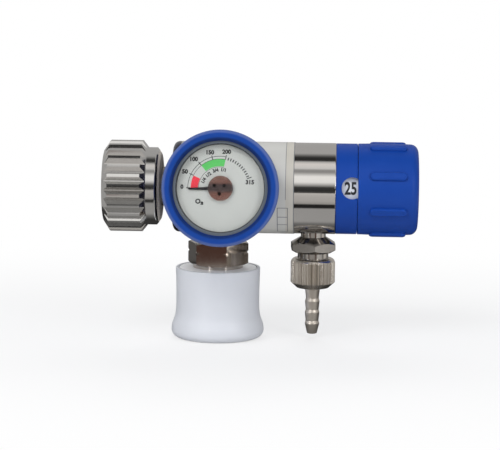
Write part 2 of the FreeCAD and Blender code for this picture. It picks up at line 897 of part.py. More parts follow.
def gauge_case():
    floor = boot_back + boot_floor
    rim = boot_seat() - bezel_depth
    inner = case_radius - case_wall
    return turned([(floor, gauge_port_radius), (floor, case_radius, 0.8), (rim, case_radius), (rim, inner),
                   (floor + case_wall, inner), (floor + case_wall, gauge_port_radius)])


def gauge_bezel():
    return turned([(boot_seat() - bezel_depth, case_radius), (boot_seat(), case_radius),
                   (boot_seat(), bezel_inner_radius, 0.3), (boot_seat() - bezel_lip, bezel_inner_radius),
                   (boot_seat() - bezel_lip, case_radius - case_wall),
                   (boot_seat() - bezel_depth, case_radius - case_wall)])


def gauge_window():
    floor = gauge_levels()[0]
    return rod(floor, floor + window_thickness, case_radius - case_wall)


def window_gasket():
    window, gasket, _ = gauge_levels()
    return ring(gasket, window, gasket_inner_radius, case_radius - case_wall)


def gauge_dial():
    _, gasket, dial = gauge_levels()
    return ring(dial, gasket, dial_hole_radius, case_radius - case_wall)


def gauge_hub_cover():
    window = gauge_levels()[0]
    return rod(window - hub_cover_thickness, window, hub_cover_radius)


def pointer_floor():
    return gauge_levels()[1] + pointer_height


def gauge_pointer():
    """Tapered needle with a round hub and a broad tail, pressed on the arbor."""
    low = pointer_floor()
    high = low + pointer_thickness
    root = pointer_hub_radius / 2
    shoulder = 0.4 - pointer_length
    needle = extruded([
        (root, -pointer_half_width), (root, pointer_half_width), (shoulder, pointer_tip_width),
        (-pointer_length, 0), (shoulder, -pointer_tip_width)], low, high)
    tail = extruded([
        (0, -pointer_half_width), (pointer_tail, -pointer_tail_width), (pointer_tail + 0.5, 0),
        (pointer_tail, pointer_tail_width), (0, pointer_half_width)], low, high)
    hub = rod(low, high, pointer_hub_radius)
    whole = hub.fuse([needle, tail]).removeSplitter()
    whole = whole.cut(rod(pointer_floor() - 1, pointer_floor() + 1, arbor_radius))
    whole.rotate(Vector(0, 0, 0), Vector(0, 0, 1), pointer_rest)
    return whole


def gear_centre():
    return gear_module * (pinion_teeth + sector_teeth) / 2


def toothed_outline(teeth, first, count):
    """Corners of a run of straight-sided teeth on their pitch circle."""
    pitch_radius = gear_module * teeth / 2
    pitch = 360.0 / teeth
    root = pitch_radius - 1.25 * gear_module
    tip = pitch_radius + 0.8 * gear_module
    corners = []
    for i in range(first, first + count):
        corners.append(on_circle(root, (i - 0.34) * pitch))
        corners.append(on_circle(tip, (i - 0.12) * pitch))
        corners.append(on_circle(tip, (i + 0.12) * pitch))
        corners.append(on_circle(root, (i + 0.34) * pitch))
    return corners


def gear_floor():
    return movement_floor + movement_height / 2


def pinion_arbor():
    pinion = extruded(toothed_outline(pinion_teeth, 0, pinion_teeth), gear_floor() - 0.5, gear_floor() + 1.5)
    shaft = rod(movement_floor, pointer_floor() + pointer_thickness, arbor_radius)
    return pinion.fuse(shaft)


def sector_sweep():
    return pointer_sweep * pinion_teeth / sector_teeth


def sector_tail():
    """End of the sector's tail, where the link hangs."""
    x, y = on_circle(tail_radius, -sector_sweep() / 2)
    return x, y - gear_centre()


def sector_gear():
    """Toothed sector that turns the pinion, on its own pivot below it, with a tail for the link."""
    spare = 1
    meshing = sector_teeth // 4
    used = math.ceil(sector_sweep() * sector_teeth / 360.0)
    rim = toothed_outline(sector_teeth, meshing - used - spare, used + 2 * spare + 1)
    top = gear_floor() + gear_thickness
    plate = extruded([(0, 0)] + rim, gear_floor(), top)
    hub = rod(gear_floor(), top, sector_hub_radius)
    tail_x, tail_y = on_circle(tail_radius, -sector_sweep() / 2)
    tail = Part.makeBox(tail_radius, link_width, gear_thickness, Vector(0, -link_width / 2, gear_floor()))
    tail.rotate(Vector(0, 0, 0), Vector(0, 0, 1), -sector_sweep() / 2)
    eye = rod(gear_floor(), top, link_end_radius)
    pin = rod(link_floor(), top, link_pin_radius)
    eye.translate(Vector(tail_x, tail_y, 0))
    pin.translate(Vector(tail_x, tail_y, 0))
    pivot = rod(movement_floor, movement_floor + movement_height, arbor_radius)
    whole = plate.fuse([hub, tail, eye, pin, pivot])
    whole.translate(Vector(0, -gear_centre(), 0))
    return whole


def link_floor():
    return gear_floor() - thrust_gap - link_thickness


def sector_link():
    """Flat link from the sector's tail to the pad on the tube's free end."""
    x0, y0 = sector_tail()
    x1, y1 = tube_tip()
    length = math.hypot(x1 - x0, y1 - y0)
    bar = Part.makeBox(length, link_width, link_thickness, Vector(0, -link_width / 2, link_floor()))
    eyes = [Part.makeCylinder(link_end_radius, link_thickness, Vector(x, 0, link_floor()))
            for x in (0, length)]
    pin_hole = rod(link_floor() - 1, gear_floor(), link_pin_radius + running_gap)
    link = bar.fuse(eyes).removeSplitter().cut(pin_hole)
    link.rotate(Vector(0, 0, 0), Vector(0, 0, 1), math.degrees(math.atan2(y1 - y0, x1 - x0)))
    link.translate(Vector(x0, y0, 0))
    return link


def movement_frame():
    """Two plates on pillars that carry the arbor and the sector's pivot, standing on the socket's arm."""
    top = movement_floor + movement_height
    dial = gauge_levels()[2]
    low_y = -gear_centre() - plate_margin
    plate = [(-plate_half_width, low_y), (plate_waist, low_y), (plate_waist, 0),
             (plate_half_width, plate_step), (plate_half_width, plate_margin),
             (-plate_half_width, plate_margin)]
    plates = [extruded(plate, movement_floor, movement_floor + plate_thickness),
              extruded(plate, top - plate_thickness, top)]
    pillars = []
    pillar_x = plate_half_width - pillar_inset
    pillar_y = plate_margin - pillar_inset
    for x, y in ((-pillar_x, low_y + pillar_inset), (-pillar_x, pillar_y), (pillar_x, pillar_y)):
        pillar = rod(movement_floor, dial, pillar_radius)
        pillar.translate(Vector(x, y, 0))
        pillars.append(pillar)
    legs = []
    for y in (2, -7.5):
        leg = rod(tube_floor + tube_width, movement_floor, leg_radius)
        leg.translate(Vector(-2.2, y, 0))
        legs.append(leg)
    frame = plates[0].fuse(plates[1:] + pillars + legs)
    arbor_hole = rod(movement_floor - 1, top + 1, arbor_radius + running_gap)
    pivot_hole = arbor_hole.translated(Vector(0, -gear_centre(), 0))
    return frame.cut([arbor_hole, pivot_hole])


# Quick coupler

def coupler_hex_body():
    seat = seat_below(coupler_neck_radius)
    groove = coupler_thread_radius - 1.2
    neck = turned([
        (coupler_port_depth, coupler_bore), (coupler_port_depth, groove),
        (channel_depth + channel_radius, groove), (channel_depth + channel_radius, coupler_thread_radius),
        (seat, coupler_thread_radius), (seat, coupler_neck_radius),
        (coupler_hex_top, coupler_neck_radius), (coupler_hex_top, coupler_bore)])
    corner = coupler_hex_width / math.sqrt(3)
    nut = hexagon(coupler_hex_top, coupler_hex_bottom, coupler_hex_width, coupler_hex_turn)
    envelope = turned([
        (coupler_hex_top, 0), (coupler_hex_top, corner - 2 * hex_chamfer),
        (coupler_hex_top + hex_chamfer, corner + 0.1),
        (hex_ring_level - hex_ring_depth, corner + 0.1), (hex_ring_level, corner - hex_ring_depth),
        (hex_ring_level + hex_ring_depth, corner + 0.1),
        (coupler_hex_bottom - hex_chamfer, corner + 0.1),
        (coupler_hex_bottom, corner - 2 * hex_chamfer), (coupler_hex_bottom, 0)])
    nut = nut.common(envelope)
    inside = rod(coupler_hex_top - 1, barrel_spigot_top, coupler_bore).fuse(
        rod(barrel_spigot_top, coupler_hex_bottom + 1, barrel_spigot_radius))
    cross = Part.makeCylinder(channel_radius, coupler_thread_radius + 1,
                              Vector(0, 0, coupler_port_depth + channel_radius + 0.4), Vector(1, 0, 0))
    return neck.fuse(nut.cut(inside)).removeSplitter().cut(cross)


def coupler_barrel():
    disc_under = sleeve_top + top_disc_thickness
    seat_end = valve_seat_level + valve_seat_thickness
    entry = barrel_end - probe_entry_length
    clip = spring_seat_level + spring_seat_thickness
    barrel = turned([
        (barrel_spigot_top, valve_chamber_radius), (barrel_spigot_top, barrel_spigot_radius),
        (coupler_hex_bottom, barrel_spigot_radius), (coupler_hex_bottom, neck_ring_radius, 0.3),
        (sleeve_top, neck_ring_radius), (sleeve_top, disc_step_radius),
        (disc_under, disc_step_radius), (disc_under, barrel_radius),
        (clip, barrel_radius), (clip, barrel_radius - circlip_depth),
        (clip + circlip_thickness, barrel_radius - circlip_depth), (clip + circlip_thickness, barrel_radius),
        (barrel_end, barrel_radius, 0.6), (barrel_end, probe_entry_radius + 0.8),
        (barrel_end - 0.8, probe_entry_radius), (entry, probe_entry_radius), (entry, probe_bore),
        (seal_level() + probe_ring_wire, probe_bore), (seal_level() + probe_ring_wire, seal_groove()),
        (seal_level() - probe_ring_wire, seal_groove()), (seal_level() - probe_ring_wire, probe_bore),
        (seat_end, probe_bore), (seat_end, valve_seat_radius),
        (valve_seat_level, valve_seat_radius), (valve_seat_level, valve_chamber_radius)])
    hole = Part.makeCylinder(ball_radius + pressed_gap, barrel_radius - 2,
                             Vector(2, 0, ball_level), Vector(1, 0, 0))
    return barrel.cut(turned_copies(hole, ball_count))


def seal_level():
    return valve_seat_level + valve_seat_thickness + 1.0 + probe_ring_wire


def seal_groove():
    return probe_bore + 1.9 * probe_ring_wire


def probe_seal():
    return o_ring(seal_level(), probe_bore + 0.95 * probe_ring_wire, 0.9 * probe_ring_wire)


def locking_balls():
    ball = Part.makeSphere(ball_radius, Vector(probe_bore - ball_stand_in + ball_radius, 0, ball_level))
    return turned_copies(ball, ball_count)


def coupler_top_disc():
    return turned([(sleeve_top, disc_step_radius), (sleeve_top, top_disc_radius, 0.5),
                   (sleeve_top + top_disc_thickness, top_disc_radius),
                   (sleeve_top + top_disc_thickness, disc_step_radius)])


def lock_flange_top():
    return sleeve_top + top_disc_thickness + thrust_gap


def lock_ring():
    """Steel ring in the sleeve that holds the balls in, with a relief that frees them when pulled down."""
    top = lock_flange_top()
    relief = ball_level - sleeve_travel
    bore = barrel_radius + running_gap
    deep = bore + lock_relief_depth
    slope_start = ball_radius - 0.8
    rim = top_disc_radius + free_gap
    return turned([
        (top, bore + 1), (top, rim), (top + lock_flange_thickness, rim),
        (top + lock_flange_thickness, lock_ring_radius, 0.5), (lock_ring_end, lock_ring_radius),
        (lock_ring_end, bore), (relief + ball_radius, bore), (relief + slope_start, deep),
        (relief - slope_start, deep), (relief - ball_radius, bore),
        (top + 1.2, bore), (top + 1.2, bore + 1)])


def coupler_sleeve():
    """White bell-shaped release sleeve, waisted and flared, with a floor round the barrel."""
    shelf = lock_flange_top() + lock_flange_thickness
    rim_inner = top_disc_radius + free_gap
    inner = sleeve_waist_radius - sleeve_wall
    hole = barrel_radius + free_gap
    flare = Vector(sleeve_flare_radius, 0, sleeve_flare_level)
    waist = Vector(sleeve_waist_radius, 0, sleeve_waist_level)
    skirt = Vector(sleeve_skirt_radius, 0, sleeve_skirt_level)
    rim = Vector(sleeve_rim_radius, 0, sleeve_top + 0.5)
    side = Part.BSplineCurve()
    side.interpolate(Points=[rim, waist, skirt, flare],
                     Tangents=[Vector(-0.05, 0, 1), Vector(0, 0, 1), Vector(0.3, 0, 1), Vector(0, 0, 1)],
                     TangentFlags=[True, True, False, True])
    rim_round = Part.Arc(Vector(sleeve_rim_radius - 0.45, 0, sleeve_top),
                         Vector(sleeve_rim_radius - 0.13, 0, sleeve_top + 0.14), rim)
    foot_radius = sleeve_flare_radius - sleeve_bottom_round
    foot = Vector(foot_radius, 0, sleeve_bottom)
    slope = math.radians(45)
    foot_drop = sleeve_bottom - sleeve_flare_level
    foot_middle = Vector(foot_radius + sleeve_bottom_round * math.cos(slope), 0,
                         sleeve_flare_level + foot_drop * math.sin(slope))
    foot_round = Part.Arc(flare, foot_middle, foot)
    inside = [(sleeve_bottom, foot_radius), (sleeve_bottom, hole), (sleeve_bottom - sleeve_floor, hole),
              (sleeve_bottom - sleeve_floor, inner), (shelf, inner), (shelf, rim_inner),
              (sleeve_top, rim_inner), (sleeve_top, sleeve_rim_radius - 0.45)]
    walls = [Part.makeLine(Vector(a[1], 0, a[0]), Vector(b[1], 0, b[0])) for a, b in zip(inside, inside[1:])]
    curves = [rim_round.toShape(), side.toShape(), foot_round.toShape()]
    section = Part.Wire(Part.__sortEdges__(walls + curves))
    return Part.Face(section).revolve(Vector(0, 0, 0), Vector(0, 0, 1), 360)


def sleeve_spring():
    return coil(lock_flange_top() + lock_flange_thickness, spring_seat_level,
                sleeve_spring_radius, sleeve_spring_wire / 2, sleeve_spring_turns)


def spring_seat():
    return ring(spring_seat_level, spring_seat_level + spring_seat_thickness,
                barrel_radius, spring_seat_radius)


def barrel_circlip():
    inner = barrel_radius - circlip_depth
    return circlip(spring_seat_level + spring_seat_thickness, inner, inner + circlip_width)


def poppet_head_top():
    return valve_seat_level - thrust_gap - poppet_head


def coupler_poppet():
    top = poppet_head_top()
    face = top + poppet_head
    return turned([(top, 0), (top, poppet_radius, 0.4), (face - 0.8, poppet_radius),
                   (face, poppet_nose_radius + 0.5), (face, poppet_nose_radius),
                   (face + poppet_nose, poppet_nose_radius, 0.6), (face + poppet_nose, 0)])


def poppet_spring():
    return coil(barrel_spigot_top, poppet_head_top(), poppet_spring_radius,
                poppet_spring_wire / 2, poppet_spring_turns + 2)


# Hose outlet

def outlet_adapter():
    seat = seat_below(outlet_neck_radius)
    corner = outlet_hex_width / math.sqrt(3)
    flat = outlet_hex_width / 2
    spigot = turned([
        (outlet_port_depth, outlet_bore), (outlet_port_depth, outlet_port_radius, 0.4),
        (seat, outlet_port_radius), (seat, outlet_neck_radius),
        (outlet_hex_top + 0.5, outlet_neck_radius), (outlet_hex_top + 0.5, outlet_bore)])
    nut = hexagon(outlet_hex_top, outlet_hex_bottom, outlet_hex_width, outlet_hex_turn).common(turned([
        (outlet_hex_top, 0), (outlet_hex_top, outlet_neck_radius + 0.2),
        (outlet_hex_top + outlet_hex_cone, corner + 0.1), (outlet_hex_bottom - outlet_hex_foot, corner + 0.1),
        (outlet_hex_bottom, flat - 1.6), (outlet_hex_bottom, 0)]))
    nut = nut.cut(rod(0, outlet_hex_bottom + 1, outlet_bore))
    tail = turned([(outlet_hex_bottom, outlet_bore), (outlet_hex_bottom, outlet_thread_radius),
                   (outlet_thread_end, outlet_thread_radius, 0.4), (outlet_thread_end, outlet_bore)])
    return spigot.fuse([nut, tail]).removeSplitter()


def nut_inner():
    return outlet_thread_radius + running_gap


def outlet_nut():
    """Union nut with a fine straight knurl, a rounded top and a chamfered foot."""
    blank = turned([
        (nut_top, nut_inner()), (nut_top, nut_radius, nut_top_round),
        (nut_bottom - nut_chamfer, nut_radius), (nut_bottom, nut_radius - nut_chamfer - 0.3),
        (nut_bottom, nipple_radius + running_gap), (nut_bottom - nut_floor, nipple_radius + running_gap),
        (nut_bottom - nut_floor, nut_inner())])
    star = []
    for i in range(knurl_count):
        star.append(on_circle(nut_radius, 360.0 * i / knurl_count))
        star.append(on_circle(nut_radius - knurl_depth, 360.0 * (i + 0.5) / knurl_count))
    return blank.common(extruded(star, nut_top, nut_bottom))


def nipple_collar_end():
    return nut_bottom - nut_floor - thrust_gap


def hose_nipple():
    """Hose tail with three rounded barbs, held by its collar inside the union nut."""
    collar_top = nipple_collar_end() - nipple_collar
    groove = collar_top + 2 * outlet_ring_wire
    corners = [
        (collar_top, nipple_bore), (collar_top, outlet_ring_inner()), (groove, outlet_ring_inner()),
        (groove, outlet_ring_outer()), (collar_top, outlet_ring_outer()), (collar_top, nipple_collar_radius),
        (nipple_collar_end(), nipple_collar_radius), (nipple_collar_end(), nipple_radius),
        (nut_bottom + 0.3, nipple_radius), (nipple_waist_level, nipple_waist_radius, 6)]
    for i in range(barb_count):
        top = barb_first + i * barb_pitch
        corners.append((top - barb_rise, barb_valley_radius, barb_rounding))
        corners.append((top, barb_radius, barb_rounding))
    corners += [(nipple_end, nipple_tip_radius, 0.6), (nipple_end, nipple_bore)]
    return turned(corners)


def outlet_ring_inner():
    return nipple_bore + 1.4


def outlet_ring_outer():
    return outlet_ring_inner() + 2 * outlet_ring_wire


def outlet_oring():
    level = nipple_collar_end() - nipple_collar + outlet_ring_wire
    return o_ring(level, outlet_ring_inner() + outlet_ring_wire, outlet_ring_wire)


main_axis_pieces = {
    "handwheel_nut": handwheel_nut, "inlet_stem": inlet_stem, "inlet_oring": inlet_oring,
    "inlet_filter": inlet_filter, "valve_nozzle": valve_nozzle, "regulating_piston": regulating_piston,
    "piston_seat": piston_seat, "piston_oring": piston_oring, "piston_spring": piston_spring,
    "piston_circlip": piston_circlip, "orifice_disc": orifice_disc, "selector_spindle": selector_spindle,
    "spindle_oring": spindle_oring, "port_seal": port_seal, "detent_plunger": detent_plunger,
    "detent_spring": detent_spring, "stop_pin": stop_pin, "numeral_drum": numeral_drum,
    "flow_knob": flow_knob}
gauge_pieces = {
    "gauge_boot": gauge_boot, "gauge_socket": gauge_socket, "bourdon_tube": bourdon_tube,
    "gauge_case": gauge_case, "gauge_bezel": gauge_bezel, "gauge_window": gauge_window,
    "window_gasket": window_gasket, "gauge_dial": gauge_dial, "gauge_hub_cover": gauge_hub_cover,
    "gauge_pointer": gauge_pointer, "pinion_arbor": pinion_arbor, "sector_gear": sector_gear,
    "sector_link": sector_link, "movement_frame": movement_frame}
coupler_pieces = {
    "coupler_hex_body": coupler_hex_body, "coupler_barrel": coupler_barrel, "probe_seal": probe_seal,
    "coupler_top_disc": coupler_top_disc, "lock_ring": lock_ring, "coupler_sleeve": coupler_sleeve,
    "sleeve_spring": sleeve_spring, "spring_seat": spring_seat, "barrel_circlip": barrel_circlip,
    "coupler_poppet": coupler_poppet, "poppet_spring": poppet_spring}
outlet_pieces = {
    "outlet_adapter": outlet_adapter, "outlet_nut": outlet_nut, "hose_nipple": hose_nipple,
    "outlet_oring": outlet_oring}

os.makedirs("parts", exist_ok=True)
for name, make in main_axis_pieces.items():
    save(name, along_x(make()))
for name, make in (("body_housing", body_housing), ("body_label", body_label),
                   ("metering_block", metering_block), ("window_ring", window_ring)):
    save(name, make())
save("ring_screws", *[along_x(screw) for screw in ring_screws()])
for name, make in gauge_pieces.items():
    save(name, gauge_place(make()))
for name, make in coupler_pieces.items():
    save(name, hanging(make(), coupler_x))
save("locking_balls", *[hanging(ball, coupler_x) for ball in locking_balls()])
for name, make in outlet_pieces.items():
    save(name, hanging(make(), outlet_x))
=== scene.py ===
import math

import bmesh
import bpy
import numpy as np
from mathutils import Euler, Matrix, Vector


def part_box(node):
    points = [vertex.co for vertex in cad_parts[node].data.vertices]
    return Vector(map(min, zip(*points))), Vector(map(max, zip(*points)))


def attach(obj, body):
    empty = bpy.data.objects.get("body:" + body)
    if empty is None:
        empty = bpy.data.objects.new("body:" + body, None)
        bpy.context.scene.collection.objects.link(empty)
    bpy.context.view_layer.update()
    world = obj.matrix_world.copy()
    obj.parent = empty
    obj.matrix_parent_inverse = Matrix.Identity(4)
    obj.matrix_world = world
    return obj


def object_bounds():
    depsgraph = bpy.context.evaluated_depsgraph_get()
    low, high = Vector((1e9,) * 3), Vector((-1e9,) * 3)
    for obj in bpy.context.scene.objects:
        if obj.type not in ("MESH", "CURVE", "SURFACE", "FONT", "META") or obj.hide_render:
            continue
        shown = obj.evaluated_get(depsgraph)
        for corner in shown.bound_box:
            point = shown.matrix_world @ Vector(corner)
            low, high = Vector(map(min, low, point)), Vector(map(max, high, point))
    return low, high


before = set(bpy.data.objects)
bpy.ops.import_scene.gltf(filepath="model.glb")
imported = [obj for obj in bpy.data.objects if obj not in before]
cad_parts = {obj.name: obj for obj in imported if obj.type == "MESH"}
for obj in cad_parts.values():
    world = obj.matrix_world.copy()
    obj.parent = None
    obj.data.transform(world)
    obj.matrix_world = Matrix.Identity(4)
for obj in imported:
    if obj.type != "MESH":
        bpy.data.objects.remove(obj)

cad_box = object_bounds()  # of the solids alone, before any piece is added


# Handwheel nut
# Nut of nickel-plated brass that is tightened by hand on the cylinder's valve, turned and then fluted.
# It turns freely on the stem, whose flange it pulls against the valve.

class Shade:
    """One shader socket. Sums and comparisons on it add Math nodes, and node() adds any other node."""

    def __init__(self, tree, socket=None):
        self.tree = tree
        self.socket = socket

    def node(self, kind, settings, inputs, output=0):
        """Adds a node of this kind, its settings first and then the values or links of its sockets."""
        made = self.tree.nodes.new(kind)
        for name, value in settings.items():
            if name == "stops":
                ramp = made.color_ramp
                for index, (at, colour) in enumerate(value):
                    stop = ramp.elements[index] if index < 2 else ramp.elements.new(at)
                    stop.position = at
                    stop.color = colour
            else:
                setattr(made, name, value)
        for name, value in inputs.items():
            if isinstance(value, Shade):
                self.tree.links.new(value.socket, made.inputs[name])
            else:
                made.inputs[name].default_value = value
        return Shade(self.tree, made.outputs[output])

    def math(self, operation, *values):
        """One step of arithmetic on these values, each a socket or a number."""
        return self.node("ShaderNodeMath", {"operation": operation}, dict(enumerate(values)))

    def __add__(self, other):
        return self.math("ADD", self, other)

    def __sub__(self, other):
        return self.math("SUBTRACT", self, other)

    def __rsub__(self, other):
        return self.math("SUBTRACT", other, self)

    def __mul__(self, other):
        return self.math("MULTIPLY", self, other)

    def __truediv__(self, other):
        return self.math("DIVIDE", self, other)

    def __pow__(self, other):
        return self.math("POWER", self, other)

    def __gt__(self, other):
        return self.math("GREATER_THAN", self, other)

    def __lt__(self, other):
        return self.math("LESS_THAN", self, other)

    def __abs__(self):
        return self.math("ABSOLUTE", self)

    __radd__ = __add__
    __rmul__ = __mul__

    def angle_from(self, base):
        """Angle in radians whose sine goes with this value and whose cosine goes with base."""
        return self.math("ARCTAN2", self, base)

    def between(self, low, high):
        """1 where the value lies between low and high, 0 elsewhere."""
        return (self > low) * (self < high)

    def along(self, direction):
        """Distance of a place along a direction."""
        dot = {"operation": "DOT_PRODUCT"}
        return self.node("ShaderNodeVectorMath", dot, {0: self, 1: direction}, "Value")

    def noise(self, scale, detail=2.0, roughness=0.5):
        """Soft noise between 0 and 1, with lumps about 1/scale metres across."""
        return self.node("ShaderNodeTexNoise", {}, {
            "Vector": self, "Scale": scale, "Detail": detail, "Roughness": roughness})

    def rings(self, scale, detail=3.0):
        """Noise that varies along one number only, so that it draws rings or stripes."""
        return self.node("ShaderNodeTexNoise", {"noise_dimensions": "1D"}, {
            "W": self, "Scale": scale, "Detail": detail})

    def blend(self, first, second):
        """Colour that goes from first to second as this factor goes from 0 to 1."""
        return self.node("ShaderNodeMix", {"data_type": "RGBA"}, {
            "Factor": self, 6: first, 7: second}, 2)


def new_finish(name):
    """Empty material, and the place on the piece that its patterns are worked out from."""
    material = bpy.data.materials.new(name)
    material.use_nodes = True
    material.node_tree.nodes.clear()
    place = Shade(material.node_tree).node("ShaderNodeTexCoord", {}, {}, "Object")
    return material, place


def hypotenuse(first, second):
    """Straight distance made of two distances at right angles to each other."""
    return (first * first + second * second) ** 0.5


def close_finish(material, place, colour, roughness, height=None, depth=0.0, **fixed):
    """Ends a material: what changes over the surface goes to its sockets, and fixed numbers are set on it.

    depth is how deep in metres the height pattern is. An underscore in the name of a fixed value
    stands for a space."""
    values = {"Base Color": colour, "Roughness": roughness}
    for name, value in fixed.items():
        values[name.replace("_", " ")] = value
    if height is not None:
        values["Normal"] = place.node("ShaderNodeBump", {}, {
            "Strength": 1.0, "Distance": depth, "Height": height})
    shader = place.node("ShaderNodeBsdfPrincipled", {}, values)
    end = place.tree.nodes.new("ShaderNodeOutputMaterial")
    place.tree.links.new(shader.socket, end.inputs["Surface"])
    return material


def dress(material, *nodes):
    """Gives solids of the part this material in place of their plain one."""
    for node in nodes:
        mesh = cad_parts[node].data
        mesh.materials.clear()
        mesh.materials.append(material)


main_axis = (1.0, 0.0, 0.0)
backwards = (0.0, 1.0, 0.0)
upright = (0.0, 0.0, 1.0)
# painted dark reflection: a dark bluish colour for the end of a polished part, in place of what it mirrors
painted_dark_reflection = (0.07, 0.075, 0.12, 1.0)
# painted warm reflection: a warm beige for the matt end of a part, in place of what it mirrors
painted_warm_reflection = (0.72, 0.65, 0.57, 1.0)


def turned_metal(name, tint, worn_tint, gloss, direction, mark_depth, dark_until=None, matt_from=None):
    """Lathe-turned metal: rings of tool marks square to the turning direction make the fine relief
    and vary the gloss, and a broad noise lets the tint drift.

    Along the main axis, the metal before dark_until gets a painted dark reflection in place of its own
    colour, and the metal past matt_from is matt, with a painted warm beige reflection."""
    material, place = new_finish(name)
    marks = place.along(direction).rings(2600.0)
    cloud = place.noise(60.0, 4.0)
    scuffs = place.noise(900.0, 3.0, 0.6)
    relief = marks * 0.7 + scuffs * 0.3
    colour = (cloud * 0.7 + marks * 0.3).blend(tint, worn_tint)
    if dark_until is not None:
        colour = (place.along(main_axis) < dark_until).blend(colour, painted_dark_reflection)
    roughness = gloss + marks * 0.06 + scuffs * 0.08 - 0.04
    metallic = 1.0
    if matt_from is not None:
        matt = place.along(main_axis) > matt_from
        colour = matt.blend(colour, painted_warm_reflection)
        roughness = roughness + matt * 0.4
        metallic = 1.0 - matt * 0.9
    return close_finish(material, place, colour, roughness, relief, mark_depth, Metallic=metallic)


bright_nickel = (0.77, 0.765, 0.755, 1.0)
dull_nickel = (0.63, 0.625, 0.615, 1.0)
taper_length = 0.0016
taper_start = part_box("handwheel_nut")[1][0] - taper_length
# the taper at the nut's end is matt and gets a painted warm reflection
nickel = turned_metal("nickel_turned", bright_nickel, dull_nickel, 0.11, main_axis, 0.000004,
                      matt_from=taper_start)
dress(nickel, "handwheel_nut")
stem_nickel = turned_metal("nickel_stem", (0.36, 0.345, 0.35, 1.0), (0.28, 0.27, 0.275, 1.0), 0.25,
                           main_axis, 0.000004)
dress(stem_nickel, "inlet_stem")


# Inlet thread
# Inside of the handwheel nut: a G 3/4 thread, 14 turns to the inch, cut in the nickel-plated brass.
# The nut's own bore is plain at the thread's major diameter, and these turns stand in from it.

def closed_grid(points):
    """Corners and faces of a rows x columns x 3 array of points, one quad between neighbours.

    The last row joins the first, and so does the last column."""
    index = np.arange(points[..., 0].size).reshape(points.shape[:2])
    right = np.roll(index, -1, axis=1)
    quads = np.stack([index, right, np.roll(right, -1, axis=0), np.roll(index, -1, axis=0)], axis=-1)
    return points.reshape(-1, 3), quads.reshape(-1, 4)


def add_mesh(name, points, faces, material, body):
    """Makes a smooth-shaded mesh piece that moves with a body of the part."""
    mesh = bpy.data.meshes.new(name)
    mesh.from_pydata(points.tolist(), [], faces.tolist())
    mesh.update()
    mesh.polygons.foreach_set("use_smooth", np.ones(len(mesh.polygons), bool))
    mesh.materials.append(material)
    piece = bpy.data.objects.new(name, mesh)
    bpy.context.scene.collection.objects.link(piece)
    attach(piece, body)


thread_radius = 0.0132
thread_depth = 0.00112
thread_pitch = 0.001814
thread_length = 0.0104
thread_start = 0.0001
thread_sunk = 0.00015  # how far the shell of the turns reaches into the nut's wall
flank_rise = 1.25
root_share = 0.12


def thread_turns(steps_round, steps_along):
    """Closed shell of the thread. At each angle the section runs along the crests and back along the wall.

    Its height over the wall is a triangle wave of (distance / pitch - angle / full turn), with its
    roots and crests cut flat, and both ends run out over half a pitch."""
    angle = np.linspace(0, 2 * np.pi, steps_round, endpoint=False)[:, None]
    along = np.linspace(0, thread_length, steps_along)[None, :]
    phase = along / thread_pitch - angle / (2 * np.pi)
    wave = 1 - np.abs(2 * (phase - np.floor(phase)) - 1)
    wave = np.clip(flank_rise * wave - root_share, 0, 1)
    run_out = np.clip(np.minimum(along, thread_length - along) / (0.5 * thread_pitch), 0, 1)
    inner = thread_radius - thread_depth * wave * run_out
    outer = np.full_like(inner, thread_radius + thread_sunk)
    radius = np.concatenate([inner, outer[:, ::-1]], axis=1)
    level = np.broadcast_to(np.concatenate([along, along[:, ::-1]], axis=1), radius.shape)
    return np.stack([thread_start + level, radius * np.cos(angle), radius * np.sin(angle)], axis=-1)


thread_corners, thread_faces = closed_grid(thread_turns(steps_round=120, steps_along=97))
add_mesh("inlet_thread_turns", thread_corners, thread_faces, nickel, "handwheel")


# Body
# Round housing of chrome-plated brass, polished after turning, with the pressure stage inside.
# The gauge, the coupler and the hose outlet are screwed into it.

# the first 4 mm of the body get a painted dark reflection
dark_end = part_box("body_housing")[0][0] + 0.004
chrome = turned_metal("chrome_polished", (0.80, 0.785, 0.77, 1.0), (0.70, 0.685, 0.67, 1.0), 0.04,
                      main_axis, 0.000001, dark_until=dark_end)
dress(chrome, "body_housing")


# Label
# Film sticker wrapped round the body and open at the back, printed with a rule along its end
# and a form of three empty cells.

film_white = (0.575, 0.565, 0.53, 1.0)
film_shadow = (0.52, 0.515, 0.485, 1.0)
film_beige = (0.515, 0.475, 0.395, 1.0)
rule_grey = (0.10, 0.11, 0.13, 1.0)
label_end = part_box("body_label")[1][0]
strip_start = label_end - 0.0041
rule_start = label_end - 0.0043
rule_width = 0.0003
form_start = label_end - 0.0083
form_end = label_end - 0.0029
border_width = 0.0004

# angles round the body, in radians, upwards from its front
rule_foot = -0.145
form_top = -0.325
form_foot = -1.13
cell_spans = ((-1.115, -0.81), (-0.79, -0.575), (-0.555, -0.34))


def label_finish():
    """Pale film with a dark rule along its end, and a form of three cells below the middle."""
    material, place = new_finish("label_film")
    along_body = place.along(main_axis)
    turn = place.along(upright).angle_from(place.along(backwards) * -1.0)
    strip = along_body > strip_start
    rule = along_body.between(rule_start, rule_start + rule_width) * (turn > rule_foot)
    border = along_body > label_end - border_width
    form = along_body.between(form_start, form_end) * turn.between(form_foot, form_top)
    inside = along_body.between(form_start + border_width, form_end - border_width)
    cells = sum(turn.between(low, high) for low, high in cell_spans)
    lines = rule + border + form * (1.0 - inside * cells)
    lines = lines.math("MINIMUM", lines, 1.0)
    cloud = place.noise(90.0, 3.0)
    paper = (strip * 0.6).blend(cloud.blend(film_white, film_shadow), film_beige)
    colour = (lines * 0.85).blend(paper, rule_grey)
    grain = place.noise(2500.0, 2.0)
    return close_finish(material, place, colour, 0.30 + cloud * 0.1, grain, 0.000003, Coat_Weight=0.3)


dress(label_finish(), "body_label")


# Pressure stage
# Brass nozzle and piston inside the body, the steel spring behind the piston, and the sintered
# bronze filter in the stem, with rubber rings that seal them. The small steel pieces of the
# selector and the coupler are dressed here too.

